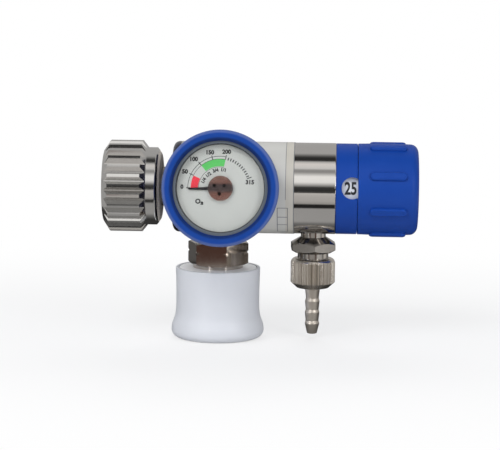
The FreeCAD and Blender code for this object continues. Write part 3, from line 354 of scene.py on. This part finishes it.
def plain_brass(name, tint, worn_tint, gloss):
    """Turned or stamped brass: fine grain in the relief and a slow drift of the tint."""
    material, place = new_finish(name)
    cloud = place.noise(140.0, 4.0)
    grain = place.noise(3000.0, 2.0)
    colour = cloud.blend(tint, worn_tint)
    return close_finish(material, place, colour, gloss + cloud * 0.12, grain, 0.000004, Metallic=1.0)


brass = plain_brass("brass_turned", (0.72, 0.52, 0.24, 1.0), (0.55, 0.38, 0.17, 1.0), 0.22)
dress(brass, "valve_nozzle", "regulating_piston", "metering_block", "coupler_poppet")
steel = plain_brass("steel_plain", (0.55, 0.55, 0.56, 1.0), (0.42, 0.42, 0.43, 1.0), 0.26)
dress(steel, "piston_spring", "piston_circlip", "orifice_disc", "selector_spindle", "detent_plunger",
      "detent_spring", "stop_pin", "ring_screws", "lock_ring", "sleeve_spring", "spring_seat",
      "barrel_circlip", "poppet_spring", "locking_balls")


def sintered():
    """Sintered bronze: small round grains pressed together, with painted shade in the pores between them."""
    material, place = new_finish("filter_bronze")
    grains = place.node("ShaderNodeTexVoronoi", {}, {"Vector": place, "Scale": 2600.0})
    tint = grains.blend((0.50, 0.31, 0.14, 1.0), (0.10, 0.06, 0.03, 1.0))
    return close_finish(material, place, tint, 0.45 + grains * 0.3, 1.0 - grains, 0.00008, Metallic=0.9)


dress(sintered(), "inlet_filter")


def rubber(name, tint, dusty_tint, gloss):
    """Moulded rubber: a dusty bloom in broad patches over a fine dull grain."""
    material, place = new_finish(name)
    bloom = place.noise(120.0, 5.0, 0.6)
    grain = place.noise(4000.0, 2.0)
    colour = bloom.blend(tint, dusty_tint)
    return close_finish(material, place, colour, gloss + bloom * 0.15, grain, 0.000006)


seal = rubber("seal_rubber", (0.018, 0.018, 0.018, 1.0), (0.05, 0.05, 0.048, 1.0), 0.50)
dress(seal, "inlet_oring", "piston_oring", "spindle_oring", "port_seal", "probe_seal", "outlet_oring")
grey_seal = rubber("seal_grey", (0.075, 0.08, 0.085, 1.0), (0.10, 0.105, 0.11, 1.0), 0.50)
dress(grey_seal, "window_gasket")


# Flow knob and window ring
# Both are moulded in satin blue plastic. Three screws hold the ring on the body, and the knob
# is pressed on the spindle.

knob_blue = (0.003, 0.040, 0.265, 1.0)
knob_blue_worn = (0.006, 0.050, 0.30, 1.0)


def moulded_blue():
    """Satin plastic with the fine spark-eroded grain of its mould and slightly paler worn patches."""
    material, place = new_finish("blue_moulding")
    grain = place.noise(1800.0, 3.0, 0.6)
    wear = place.noise(70.0, 4.0)
    colour = wear.blend(knob_blue, knob_blue_worn)
    return close_finish(material, place, colour, 0.34 + grain * 0.12 + wear * 0.05, grain, 0.000012,
                        Specular_IOR_Level=0.2)


dress(moulded_blue(), "flow_knob", "window_ring")


# Numeral drum
# White moulded drum between the ring and the knob, with printed numbers. It turns with the knob
# and shows the set flow, in litres a minute, in the round window.

def moulded_white(name, tint, flow_tint):
    """Satin white plastic: faint flow marks from its mould and a fine grain."""
    material, place = new_finish(name)
    flow = place.noise(45.0, 4.0)
    grain = place.noise(1600.0, 3.0)
    colour = flow.blend(tint, flow_tint)
    return close_finish(material, place, colour, 0.32 + flow * 0.08 + grain * 0.06, grain, 0.000008)


white_plastic = moulded_white("white_moulding", (0.67, 0.685, 0.72, 1.0), (0.62, 0.635, 0.675, 1.0))
dress(white_plastic, "numeral_drum", "piston_seat")


def printed_ink(name, tint):
    """Screen-printed ink: a dull film of slightly uneven density."""
    material, place = new_finish(name)
    density = place.noise(1500.0, 3.0)
    darker = tuple(0.8 * part for part in tint[:3]) + (1.0,)
    colour = density.blend(tint, darker)
    return close_finish(material, place, colour, 0.45 + density * 0.15, density, 0.000003)


black_ink = printed_ink("ink_black", (0.016, 0.016, 0.018, 1.0))
drum_radius = -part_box("numeral_drum")[0][2]
numeral_middle = 0.1220
numeral_height = 0.00645
numeral_bold = 0.03
lone_width = 0.9
pair_width = 0.72
flow_settings = ("0", "1", "2", "3", "4", "5", "6", "8", "10", "12", "15", "25")
setting_step = math.radians(30.0)
window_lean = math.radians(7.4)
ink_lift = 0.00003
strip_count = 12


def letter_points(words, height, bold, widen=1.0):
    """Corners and faces of a run of letters laid flat, centred on the origin.

    The letters are thickened by an outward offset in parts of their height, and cut across in
    narrow strips, so that they can be bent round a drum."""
    curve = bpy.data.curves.new("letters", "FONT")
    curve.body = words
    curve.size = 1.0
    curve.offset = bold
    curve.resolution_u = 3
    flat = bpy.data.objects.new("letters", curve)
    bpy.context.scene.collection.objects.link(flat)
    bpy.context.view_layer.update()
    mesh = bpy.data.meshes.new_from_object(flat.evaluated_get(bpy.context.evaluated_depsgraph_get()))
    bpy.data.objects.remove(flat)
    bpy.data.curves.remove(curve)
    return cut_in_strips(mesh, height, widen)


def corner_array(mesh):
    """Corners of a mesh, one row each."""
    places = np.empty(3 * len(mesh.vertices), np.float32)
    mesh.vertices.foreach_get("co", places)
    return places.reshape(-1, 3).astype(float)


def cut_in_strips(mesh, height, widen):
    """Scales a flat letter mesh to its height, cuts it across and gives it the thickness of the ink.

    The walls between its foot and its top stand on the edges that only one triangle has."""
    places = corner_array(mesh)
    low, high = places.min(axis=0), places.max(axis=0)
    scale = height / (high[1] - low[1])
    work = bmesh.new()
    work.from_mesh(mesh)
    for level in np.linspace(low[1], high[1], strip_count + 1)[1:-1]:
        bmesh.ops.bisect_plane(work, geom=work.verts[:] + work.edges[:] + work.faces[:],
                               plane_co=(0, level, 0), plane_no=(0, 1, 0))
    bmesh.ops.triangulate(work, faces=work.faces[:])
    work.to_mesh(mesh)
    work.free()
    places = corner_array(mesh)
    faces = np.empty(3 * len(mesh.polygons), np.int32)
    mesh.loops.foreach_get("vertex_index", faces)
    faces = faces.reshape(-1, 3)
    bpy.data.meshes.remove(mesh)
    edges = np.stack([faces, np.roll(faces, -1, axis=1)], axis=-1).reshape(-1, 2)
    first, uses = np.unique(np.sort(edges, axis=1), axis=0, return_index=True, return_counts=True)[1:]
    start, end = edges[first[uses == 1]].T
    flat = (places - (low + high) / 2) * scale * np.array([widen, 1, 0])
    top = flat + np.array([0, 0, ink_lift])
    count = len(flat)
    walls = np.concatenate([np.stack([end, start, start + count], axis=1),
                            np.stack([end, start + count, end + count], axis=1)])
    return np.concatenate([flat, top]), np.concatenate([faces[:, ::-1], faces + count, walls])


def add_words(name, words, body):
    """One printed piece of several words, each given by its corners and its faces."""
    starts = np.cumsum([0] + [len(corners) for corners, faces in words])
    corners = np.concatenate([corners for corners, faces in words])
    faces = np.concatenate([faces + start for (places, faces), start in zip(words, starts)])
    add_mesh(name, corners, faces, black_ink, body)


def on_drum(corners, turn):
    """Bends flat corners round the drum, with their middle at this angle upwards from the front."""
    angle = turn + corners[:, 1] / drum_radius
    radius = drum_radius + ink_lift / 2 + corners[:, 2]
    return np.stack([numeral_middle + corners[:, 0], -radius * np.cos(angle), radius * np.sin(angle)], axis=1)


numerals = []
for steps_back, setting in enumerate(reversed(flow_settings)):
    width = pair_width if len(setting) > 1 else lone_width
    corners, faces = letter_points(setting, numeral_height, numeral_bold, width)
    numerals.append((on_drum(corners, window_lean - setting_step * steps_back), faces))
add_words("drum_numerals", numerals, "selector")


# Gauge boot
# Cup of moulded blue rubber that guards the gauge from knocks. It is pulled over the gauge's case,
# and its lip holds the bezel.

boot_low, boot_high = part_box("gauge_boot")
gauge_x = (boot_low[0] + boot_high[0]) / 2
gauge_lean = math.radians(6.0)
dial_up = (0.0, math.sin(gauge_lean), math.cos(gauge_lean))
boot_blue = (0.004, 0.040, 0.235, 1.0)
boot_bloom = (0.008, 0.050, 0.27, 1.0)
# paler blue painted round the outer rim, between these radii, as its highlight
rim_highlight_blue = (0.10, 0.145, 0.34, 1.0)
rim_span = (0.0262, 0.0272)
# darker blue painted inside the lip, from the first radius in to the second, as its shade
lip_shade_blue = (0.006, 0.014, 0.06, 1.0)
lip_span = (0.0248, 0.0235)


def on_gauge(place, offset=0.0):
    """Distances across and up the gauge's face, from its axis or from a print that lies offset from it."""
    return place.along(main_axis) - (gauge_x - offset), place.along(dial_up)


def boot_rubber():
    """Blue rubber with a faint bloom, a painted highlight that makes it paler towards its outer rim, and
    painted shade inside its lip.
    """
    material, place = new_finish("boot_rubber")
    radius = hypotenuse(*on_gauge(place))
    bloom = place.noise(120.0, 5.0, 0.6)
    grain = place.noise(4000.0, 2.0)
    # where the painted highlight on the outer rim lies
    rim = place.node("ShaderNodeMapRange", {}, {0: radius, 1: rim_span[0], 2: rim_span[1]})
    # where the painted shade inside the lip lies
    lip = place.node("ShaderNodeMapRange", {}, {0: radius, 1: lip_span[0], 2: lip_span[1]})
    colour = (rim * 0.8).blend(bloom.blend(boot_blue, boot_bloom), rim_highlight_blue)
    colour = (lip * 0.7).blend(colour, lip_shade_blue)
    return close_finish(material, place, colour, 0.42 + bloom * 0.15, grain, 0.000006,
                        Specular_IOR_Level=0.15)


dress(boot_rubber(), "gauge_boot")


# Gauge case and bezel
# Pressed steel case of the gauge with a bluish grey lacquer, and its bezel, which is rolled over
# the edge of the window.

def lacquer():
    """Bluish grey lacquer with a little orange peel and duller patches."""
    material, place = new_finish("case_lacquer")
    peel = place.noise(1100.0, 2.0)
    patches = place.noise(80.0, 3.0)
    colour = patches.blend((0.105, 0.125, 0.15, 1.0), (0.085, 0.10, 0.125, 1.0))
    return close_finish(material, place, colour, 0.28 + patches * 0.15, peel, 0.00001, Coat_Weight=0.2)


dress(lacquer(), "gauge_case", "gauge_bezel")


# Gauge dial
# Printed disc of aluminium under the window: a pressure scale from 0 to 315 bar, a red field near
# empty, a green field for the working range, and how full the cylinder is beside it.

dial_out = (0.0, -math.cos(gauge_lean), math.sin(gauge_lean))
dial_face = 0.0453
print_offset = 0.0004
degree = math.pi / 180
number_step = 25.2 * degree  # from one number of the scale to the next
scale_bend = 4 * number_step
fine_step = number_step / 5
fine_span = (103.0 * degree, 158.0 * degree)
scale_end = 160.0 * degree
line_ends = (-0.01, scale_bend)
number_ends = (-0.02, scale_bend + 0.7 * degree)  # so that the outer ticks keep their full width
red_field = (0.0104, 0.0139)
green_field = (0.0105, 0.0140)
scale_line = (0.01516, 0.01544)
inner_line = (0.01388, 0.01410)
lower_line = (0.01008, 0.01030)
number_ticks = (0.0140, 0.0161)
fine_ticks = (0.0138, 0.0152)
end_tick = (0.0138, 0.0162)
tick_half_width = 0.00022
fine_half_width = 0.00027
dial_bold = 0.05


def off_step(angle, step):
    """How far an angle lies from the nearest whole number of steps."""
    steps = angle * (1.0 / step)
    return abs(steps - steps.math("ROUND", steps)) * step


def dial_finish():
    """Pale disc with its fields, arcs and ticks, all worked out from the radius and the angle.

    The angle is counted clockwise from nine o'clock, where the pointer rests."""
    material, place = new_finish("dial_print")
    across, upwards = on_gauge(place, print_offset)
    radius = hypotenuse(across, upwards)
    angle = upwards.angle_from(across * -1.0)
    cloud = place.noise(70.0, 3.0)
    colour = cloud.blend((0.555, 0.57, 0.54, 1.0), (0.52, 0.535, 0.51, 1.0))
    red = radius.between(*red_field) * angle.between(0.0, number_step)
    green = radius.between(*green_field) * angle.between(2 * number_step, scale_bend)
    colour = red.blend(colour, (0.80, 0.035, 0.06, 1.0))
    colour = green.blend(colour, (0.10, 0.54, 0.12, 1.0))
    arcs = (radius.between(*scale_line) * angle.between(*line_ends)
            + radius.between(*inner_line) * angle.between(number_step, scale_bend)
            + radius.between(*lower_line) * angle.between(0.0, scale_bend))
    at_number = (off_step(angle, number_step) * radius < tick_half_width) * radius.between(*number_ticks)
    at_number = at_number * angle.between(*number_ends)
    at_fine = (off_step(angle, fine_step) * radius < fine_half_width) * radius.between(*fine_ticks)
    at_fine = at_fine * angle.between(*fine_span)
    at_end = (abs(angle - scale_end) * radius < tick_half_width) * radius.between(*end_tick)
    ink = arcs + at_number + at_fine + at_end
    ink = ink.math("MINIMUM", ink, 1.0)
    colour = (ink * 0.95).blend(colour, (0.02, 0.02, 0.024, 1.0))
    grain = place.noise(2600.0, 2.0)
    return close_finish(material, place, colour, 0.50 + cloud * 0.1, grain, 0.000003)


dress(dial_finish(), "gauge_dial")


def on_dial(corners, x, y, turn):
    """Places flat corners on the dial's face at x, y, turned clockwise about their own middle."""
    across = corners[:, 0] * math.cos(turn) + corners[:, 1] * math.sin(turn) + x
    upwards = corners[:, 1] * math.cos(turn) - corners[:, 0] * math.sin(turn) + y
    lift = dial_face + ink_lift / 2 + corners[:, 2]
    flat = np.stack([gauge_x + across, np.zeros_like(across), np.zeros_like(across)], axis=1)
    return flat + upwards[:, None] * np.array(dial_up) + lift[:, None] * np.array(dial_out)


def add_dial_words(name, entries, height):
    """One printed piece of short words, each given with the place of its middle and its turn."""
    words = []
    for text, (x, y), turn in entries:
        corners, faces = letter_points(text, height, dial_bold)
        words.append((on_dial(corners, x, y, turn * degree), faces))
    add_words(name, words, "root")


add_dial_words("dial_numbers", [
    ("0", (-0.0185, 0.0005), 0.0), ("50", (-0.0171, 0.0078), 0.0), ("100", (-0.0128, 0.0138), 0.0),
    ("150", (-0.0051, 0.0171), 0.0), ("200", (0.0027, 0.0175), 0.0), ("315", (0.0140, 0.0031), 0.0)], 0.0022)
add_dial_words("dial_fill_marks", [
    ("1/4", (-0.0081, 0.0037), -63.0), ("1/2", (-0.0058, 0.0065), -39.0),
    ("3/4", (-0.0025, 0.0085), -14.0), ("1/1", (0.0013, 0.0088), 10.0)], 0.0018)
add_dial_words("dial_gas_mark", [("O₂", (-0.0101, -0.0066), 0.0)], 0.0029)


# Pointer and movement
# Black aluminium pointer, pressed on the arbor of a brass movement that a coiled brass tube drives.
# The sector turns the pinion six times as far as it swings itself.

def pointer_black():
    """Matt black paint, rubbed a little in fine patches."""
    material, place = new_finish("pointer_paint")
    rub = place.noise(1400.0, 3.0)
    colour = rub.blend((0.014, 0.014, 0.015, 1.0), (0.035, 0.035, 0.036, 1.0))
    return close_finish(material, place, colour, 0.40 + rub * 0.2, rub, 0.000005)


needle_paint = pointer_black()
dress(needle_paint, "gauge_pointer")


needle_outline = np.array([(-0.0012, 0.00095), (-0.0150, 0.00038), (-0.0156, 0.0), (-0.0150, -0.00038),
                           (-0.0012, -0.00095)])
needle_foot = 0.00036
needle_top = 0.00084
needle_lean = -1.7 * degree


def needle_skin():
    """Corners and faces of a flat prism on a five-cornered outline that tapers from the hub to the tip."""
    count = len(needle_outline)
    foot = np.column_stack([needle_outline, np.full(count, needle_foot)])
    top = np.column_stack([needle_outline, np.full(count, needle_top)])
    near = np.arange(count)
    far = np.roll(near, -1)
    fan = np.column_stack([np.zeros(count - 2, int), near[1:-1], near[2:]])
    walls = np.concatenate([np.column_stack([near, near + count, far]),
                            np.column_stack([far, near + count, far + count])])
    return np.concatenate([foot, top]), np.concatenate([fan, fan[:, ::-1] + count, walls])


skin_corners, skin_faces = needle_skin()
add_mesh("pointer_paint", on_dial(skin_corners, 0.0, 0.0, needle_lean), skin_faces, needle_paint,
         "pointer")
stamped_brass = plain_brass("brass_stamped", (0.74, 0.55, 0.27, 1.0), (0.58, 0.42, 0.20, 1.0), 0.28)
dress(stamped_brass, "gauge_socket", "bourdon_tube", "pinion_arbor", "sector_gear", "sector_link",
      "movement_frame")


# Hub cover
# Small disc of brown see-through plastic behind the window, over the pointer's hub. It is moulded
# with a thick bar across it and three dark pegs.

peg_places = ((-0.0029, 0.0013), (0.0018, 0.0013), (-0.0005, -0.0027))
peg_radius = 0.00085
bar_middle = 0.0002
bar_half_width = 0.0033
hub_brown = (0.26, 0.11, 0.08, 1.0)
hub_shade = (0.20, 0.085, 0.065, 1.0)
hub_bar = (0.05, 0.055, 0.058, 1.0)
peg_black = (0.003, 0.003, 0.003, 1.0)


def hub_cover():
    """Brown see-through plastic, darker along the bar across its middle and black on its pegs."""
    material, place = new_finish("hub_amber")
    across, upwards = on_gauge(place)
    pegs = sum(hypotenuse(across - x, upwards - y) < peg_radius for x, y in peg_places)
    bar = place.node("ShaderNodeMapRange", {"interpolation_type": "SMOOTHSTEP"}, {
        0: abs(upwards - bar_middle), 1: bar_half_width, 2: 0.3 * bar_half_width})
    smoke = place.noise(300.0, 3.0)
    tint = (bar * 0.8).blend(smoke.blend(hub_brown, hub_shade), hub_bar)
    colour = pegs.blend(tint, peg_black)
    alpha = 0.54 + smoke * 0.06 + bar * 0.16 + pegs * 0.5
    alpha = alpha.math("MINIMUM", alpha, 1.0)
    return close_finish(material, place, colour, 0.16 + smoke * 0.1, smoke, 0.000004, Alpha=alpha,
                        Specular_IOR_Level=0.2)


dress(hub_cover(), "gauge_hub_cover")


# Gauge window
# Flat disc cut from clear plastic sheet. The bezel holds it against the gasket, and it covers the
# dial and the pointer.

def window_plastic():
    """Clear sheet: nearly see-through face on, brighter at a glance, with a trace of haze."""
    material, place = new_finish("window_clear")
    haze = place.noise(200.0, 4.0)
    glance = place.node("ShaderNodeFresnel", {}, {"IOR": 1.48})
    alpha = 0.004 + haze * 0.006 + glance * 0.2
    tint = haze.blend((0.20, 0.22, 0.21, 1.0), (0.28, 0.30, 0.29, 1.0))
    return close_finish(material, place, tint, 0.05 + haze * 0.05, haze, 0.000002, Alpha=alpha)


dress(window_plastic(), "gauge_window")


# Quick coupler
# Hexagonal body and barrel of nickel-plated brass. Steel balls in the barrel hold the probe until
# the sleeve is pulled down, and a poppet then shuts the gas off.

coupler_nickel = turned_metal("nickel_coupler", (0.52, 0.475, 0.44, 1.0), (0.43, 0.39, 0.36, 1.0), 0.05,
                              upright, 0.000001)
dress(coupler_nickel, "coupler_hex_body", "coupler_barrel")


# Hose outlet
# Hexagon adapter screwed up into the body, the finely knurled union nut and the barbed hose tail, all of
# nickel-plated brass. The adapter's nickel is darker, as painted shade, and the hose tail's is paler and
# warmer, as painted light.

# darker copy of the nickel: painted shade on the adapter under the body
dark_nickel = turned_metal("nickel_adapter", (0.45, 0.43, 0.405, 1.0), (0.37, 0.35, 0.33, 1.0), 0.10,
                           upright, 0.000003)
dress(dark_nickel, "outlet_adapter")
# paler, warmer copy of the nickel: painted light on the hose tail
tail_nickel = turned_metal("nickel_tail", (0.80, 0.74, 0.67, 1.0), (0.66, 0.60, 0.53, 1.0), 0.36,
                           upright, 0.000005)
dress(tail_nickel, "hose_nipple")
adapter_low, adapter_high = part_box("outlet_adapter")
outlet_x = (adapter_low[0] + adapter_high[0]) / 2


def knurled_metal():
    """Nickel over fine straight knurling: streaks along the nut, from a noise on the angle round it, painted
    lighter and darker as the knurl's highlights and shade, and also used as its relief."""
    material, place = new_finish("nickel_knurled")
    turn = (place.along(main_axis) - outlet_x).angle_from(place.along(backwards) * -1.0)
    # painted highlights and shade of the knurling, as streaks along the nut
    streaks = turn.rings(16.0)
    cloud = place.noise(200.0, 3.0)
    tint = place.node("ShaderNodeValToRGB", {"stops": [
        (0.36, (0.48, 0.44, 0.39, 1.0)), (0.62, (0.95, 0.91, 0.85, 1.0))]}, {0: streaks})
    colour = (cloud * 0.5).blend(tint, (0.62, 0.56, 0.49, 1.0))
    return close_finish(material, place, colour, 0.20 + cloud * 0.1, streaks, 0.00004, Metallic=1.0)


dress(knurled_metal(), "outlet_nut")


# Release sleeve
# Bell-shaped sleeve moulded in white plastic round the barrel, with a separate disc in its top
# that stays on the barrel when the sleeve is pulled down.

dress(white_plastic, "coupler_sleeve")
# a paler copy of the white plastic: painted light on the disc, which lies in shade under the body
disc_white = moulded_white("white_disc", (0.95, 0.955, 0.965, 1.0), (0.92, 0.925, 0.94, 1.0))
dress(disc_white, "coupler_top_disc")


# Studio
# Pale floor and background, soft lamps above and in front, and the broad panels and flags round
# them that polished metal mirrors as light and dark bands.

def add_lamp(name, place, width, height, power, mirrored):
    """Rectangular soft lamp that points at the object. Polished metal shows it if mirrored is true."""
    lamp = bpy.data.lights.new(name, "AREA")
    lamp.shape = "RECTANGLE"
    lamp.size = width
    lamp.size_y = height
    lamp.energy = power
    holder = bpy.data.objects.new(name, lamp)
    bpy.context.scene.collection.objects.link(holder)
    holder.visible_glossy = mirrored
    holder.location = place
    holder.rotation_euler = (Vector(object_middle) - Vector(place)).to_track_quat("-Z", "Y").to_euler()


object_middle = (0.075, 0.0, -0.02)
add_lamp("key_lamp", (-0.35, -0.75, 0.85), 0.7, 0.5, 7.4, False)
add_lamp("fill_lamp", (0.75, -0.75, 0.45), 0.5, 0.6, 3.0, False)
add_lamp("left_strip", (-0.45, -0.70, 0.10), 0.09, 0.9, 1.6, True)
add_lamp("right_strip", (0.62, -0.72, 0.10), 0.07, 0.9, 1.3, True)
add_lamp("back_lamp", (0.1, 0.8, 0.8), 0.8, 0.4, 4.0, False)


def grey(level):
    """Neutral panel of this brightness, warmed very slightly."""
    return (level, level * 0.985, level * 0.96, 1.0)


def warm(level):
    """Cream panel of this brightness."""
    return (level, level * 0.96, level * 0.91, 1.0)


def brown(level):
    """Brown panel of this brightness."""
    return (level, level * 0.52, level * 0.40, 1.0)


def seen_by(shade, *rays):
    """1 for rays of these kinds, such as those that a glossy surface sends out."""
    total = sum(shade.node("ShaderNodeLightPath", {}, {}, ray) for ray in rays)
    return total.math("MINIMUM", total, 1.0)


def bands(value, low, high, stops):
    """Colours along a value, each stop given at its own value between low and high."""
    places = [((at - low) / (high - low), colour) for at, colour in stops]
    return value.node("ShaderNodeValToRGB", {"stops": places}, {0: (value - low) / (high - low)})


def seen_floor(place, aside, forward):
    """Pale matt floor that keeps the shadow and goes over into white further off."""
    cloud = place.noise(3.0, 3.0)
    matt = place.node("ShaderNodeBsdfPrincipled", {}, {
        "Base Color": cloud.blend((0.86, 0.86, 0.865, 1.0), (0.84, 0.84, 0.845, 1.0)),
        "Roughness": 0.7 + cloud * 0.1})
    white = place.node("ShaderNodeEmission", {}, {"Color": (1.0, 1.0, 1.0, 1.0), "Strength": 1.0})
    far = place.node("ShaderNodeMapRange", {"interpolation_type": "SMOOTHSTEP"}, {
        0: hypotenuse(aside * floor_squeeze, forward), 1: shadow_reach[0], 2: shadow_reach[1]})
    whiteness = near_whiteness + far * (1.0 - near_whiteness)
    return place.node("ShaderNodeMixShader", {}, {
        0: whiteness * seen_by(place, "Is Camera Ray"), 1: matt, 2: white})


def mirrored_floor(place, aside, forward):
    """What metal mirrors of the floor and the table's edge: bands by the distance in front of the
    object, and to its sides and behind it bands by the direction, in degrees from the front."""
    ahead = bands(forward, -0.1, 1.0, [
        (-0.1, grey(0.04)), (-0.01, grey(0.045)), (0.012, grey(0.2)), (0.022, grey(0.37)),
        (0.086, grey(0.36)), (0.093, grey(0.02)), (0.122, grey(0.02)), (0.130, warm(0.36)),
        (0.17, warm(0.47)), (0.55, warm(0.58)), (0.80, warm(0.55)), (0.88, grey(0.05))])
    direction = aside.angle_from(forward) / degree
    sides = bands(direction, -180.0, 180.0, [
        (-180.0, grey(0.03)), (-153.0, grey(0.04)), (-148.0, grey(0.13)), (-130.0, grey(0.13)),
        (-122.0, grey(0.40)), (-45.0, grey(0.30)), (-42.0, grey(0.95)), (-38.0, grey(0.95)),
        (-32.0, brown(0.11)), (30.0, brown(0.12)), (38.0, grey(0.95)), (70.0, grey(0.80)),
        (75.0, grey(0.30)), (84.0, grey(0.35)), (90.0, warm(1.0)), (108.0, warm(0.95)),
        (118.0, grey(0.4)), (155.0, grey(0.04))])
    turned_away = (abs(direction) > front_sector) * (hypotenuse(aside, forward) > sides_from)
    return place.node("ShaderNodeEmission", {}, {"Color": turned_away.blend(ahead, sides), "Strength": 1.0})


floor_level = cad_box[0][2] - 0.0002
floor_reach = 8.0
floor_squeeze = 0.6  # the whitening floor is an oval, longer from side to side
shadow_reach = (0.04, 0.32)
near_whiteness = 0.66
front_sector = 19.08
sides_from = 0.26


def pale_floor():
    """The floor's finish: one look for the camera and for soft light, and another in polished metal."""
    material, place = new_finish("floor_pale")
    aside = place.along(main_axis) - object_middle[0]
    forward = place.along(backwards) * -1.0
    both = place.node("ShaderNodeMixShader", {}, {
        0: seen_by(place, "Is Glossy Ray"),
        1: seen_floor(place, aside, forward), 2: mirrored_floor(place, aside, forward)})
    end = place.tree.nodes.new("ShaderNodeOutputMaterial")
    place.tree.links.new(both.socket, end.inputs["Surface"])
    return material


floor_mesh = bpy.data.meshes.new("studio_floor")
floor_corners = ((-1, -1), (1, -1), (1, 1), (-1, 1))
floor_mesh.from_pydata([(floor_reach * x, floor_reach * y, floor_level) for x, y in floor_corners],
                       [], [(0, 1, 2, 3)])
floor_mesh.materials.append(pale_floor())
studio_floor = bpy.data.objects.new("studio_floor", floor_mesh)
bpy.context.scene.collection.objects.link(studio_floor)

world = bpy.data.worlds.new("studio_air")
bpy.context.scene.world = world
world.use_nodes = True
world.node_tree.nodes.clear()
air = Shade(world.node_tree)
heading = air.node("ShaderNodeTexCoord", {}, {}, "Generated")
rise = heading.along(upright).angle_from(heading.along(backwards) * -1.0) / degree
panels = bands(rise, 0.0, 180.0, [
    (0.0, grey(0.03)), (9.0, grey(0.05)), (15.0, grey(0.45)), (22.0, grey(0.95)), (36.0, grey(1.0)),
    (43.0, grey(0.55)), (48.0, grey(0.32)), (53.0, grey(0.32)), (58.0, grey(0.72)),
    (70.0, (0.82, 0.78, 0.75, 1.0)), (76.0, grey(0.55)), (81.0, grey(0.03)), (90.0, grey(0.03)),
    (96.0, grey(0.12)), (106.0, grey(0.44)), (180.0, grey(0.42))])
room = air.node("ShaderNodeBackground", {}, {"Color": (0.9, 0.94, 1.0, 1.0), "Strength": 0.36})
backdrop = air.node("ShaderNodeBackground", {}, {"Color": (1.0, 1.0, 1.0, 1.0), "Strength": 1.0})
mirrored_room = air.node("ShaderNodeBackground", {}, {"Color": panels, "Strength": 1.0})
seen_air = air.node("ShaderNodeMixShader", {}, {
    0: seen_by(air, "Is Camera Ray", "Is Transmission Ray"), 1: room, 2: backdrop})
all_air = air.node("ShaderNodeMixShader", {}, {
    0: seen_by(air, "Is Glossy Ray"), 1: seen_air, 2: mirrored_room})
world_end = world.node_tree.nodes.new("ShaderNodeOutputWorld")
world.node_tree.links.new(all_air.socket, world_end.inputs["Surface"])


# Camera
# Long lens about a metre in front of the object, a little above it and to its right. It is turned
# by about half a degree about its own line of sight, as the photograph is.

camera = bpy.data.cameras.new("camera")
camera.lens = 145.0
camera.sensor_width = 36.0
camera.clip_start = 0.01
viewer = bpy.data.objects.new("camera", camera)
bpy.context.scene.collection.objects.link(viewer)
viewer.location = (0.1121, -1.0, 0.120)
seen_middle = Vector((0.0721, 0.0, -0.01905))
roll = Euler((0.0, 0.0, math.radians(0.6))).to_quaternion()
line_of_sight = seen_middle - viewer.location
viewer.rotation_euler = (line_of_sight.to_track_quat("-Z", "Y") @ roll).to_euler()
bpy.context.scene.camera = viewer
bpy.context.scene.view_settings.view_transform = "Standard"
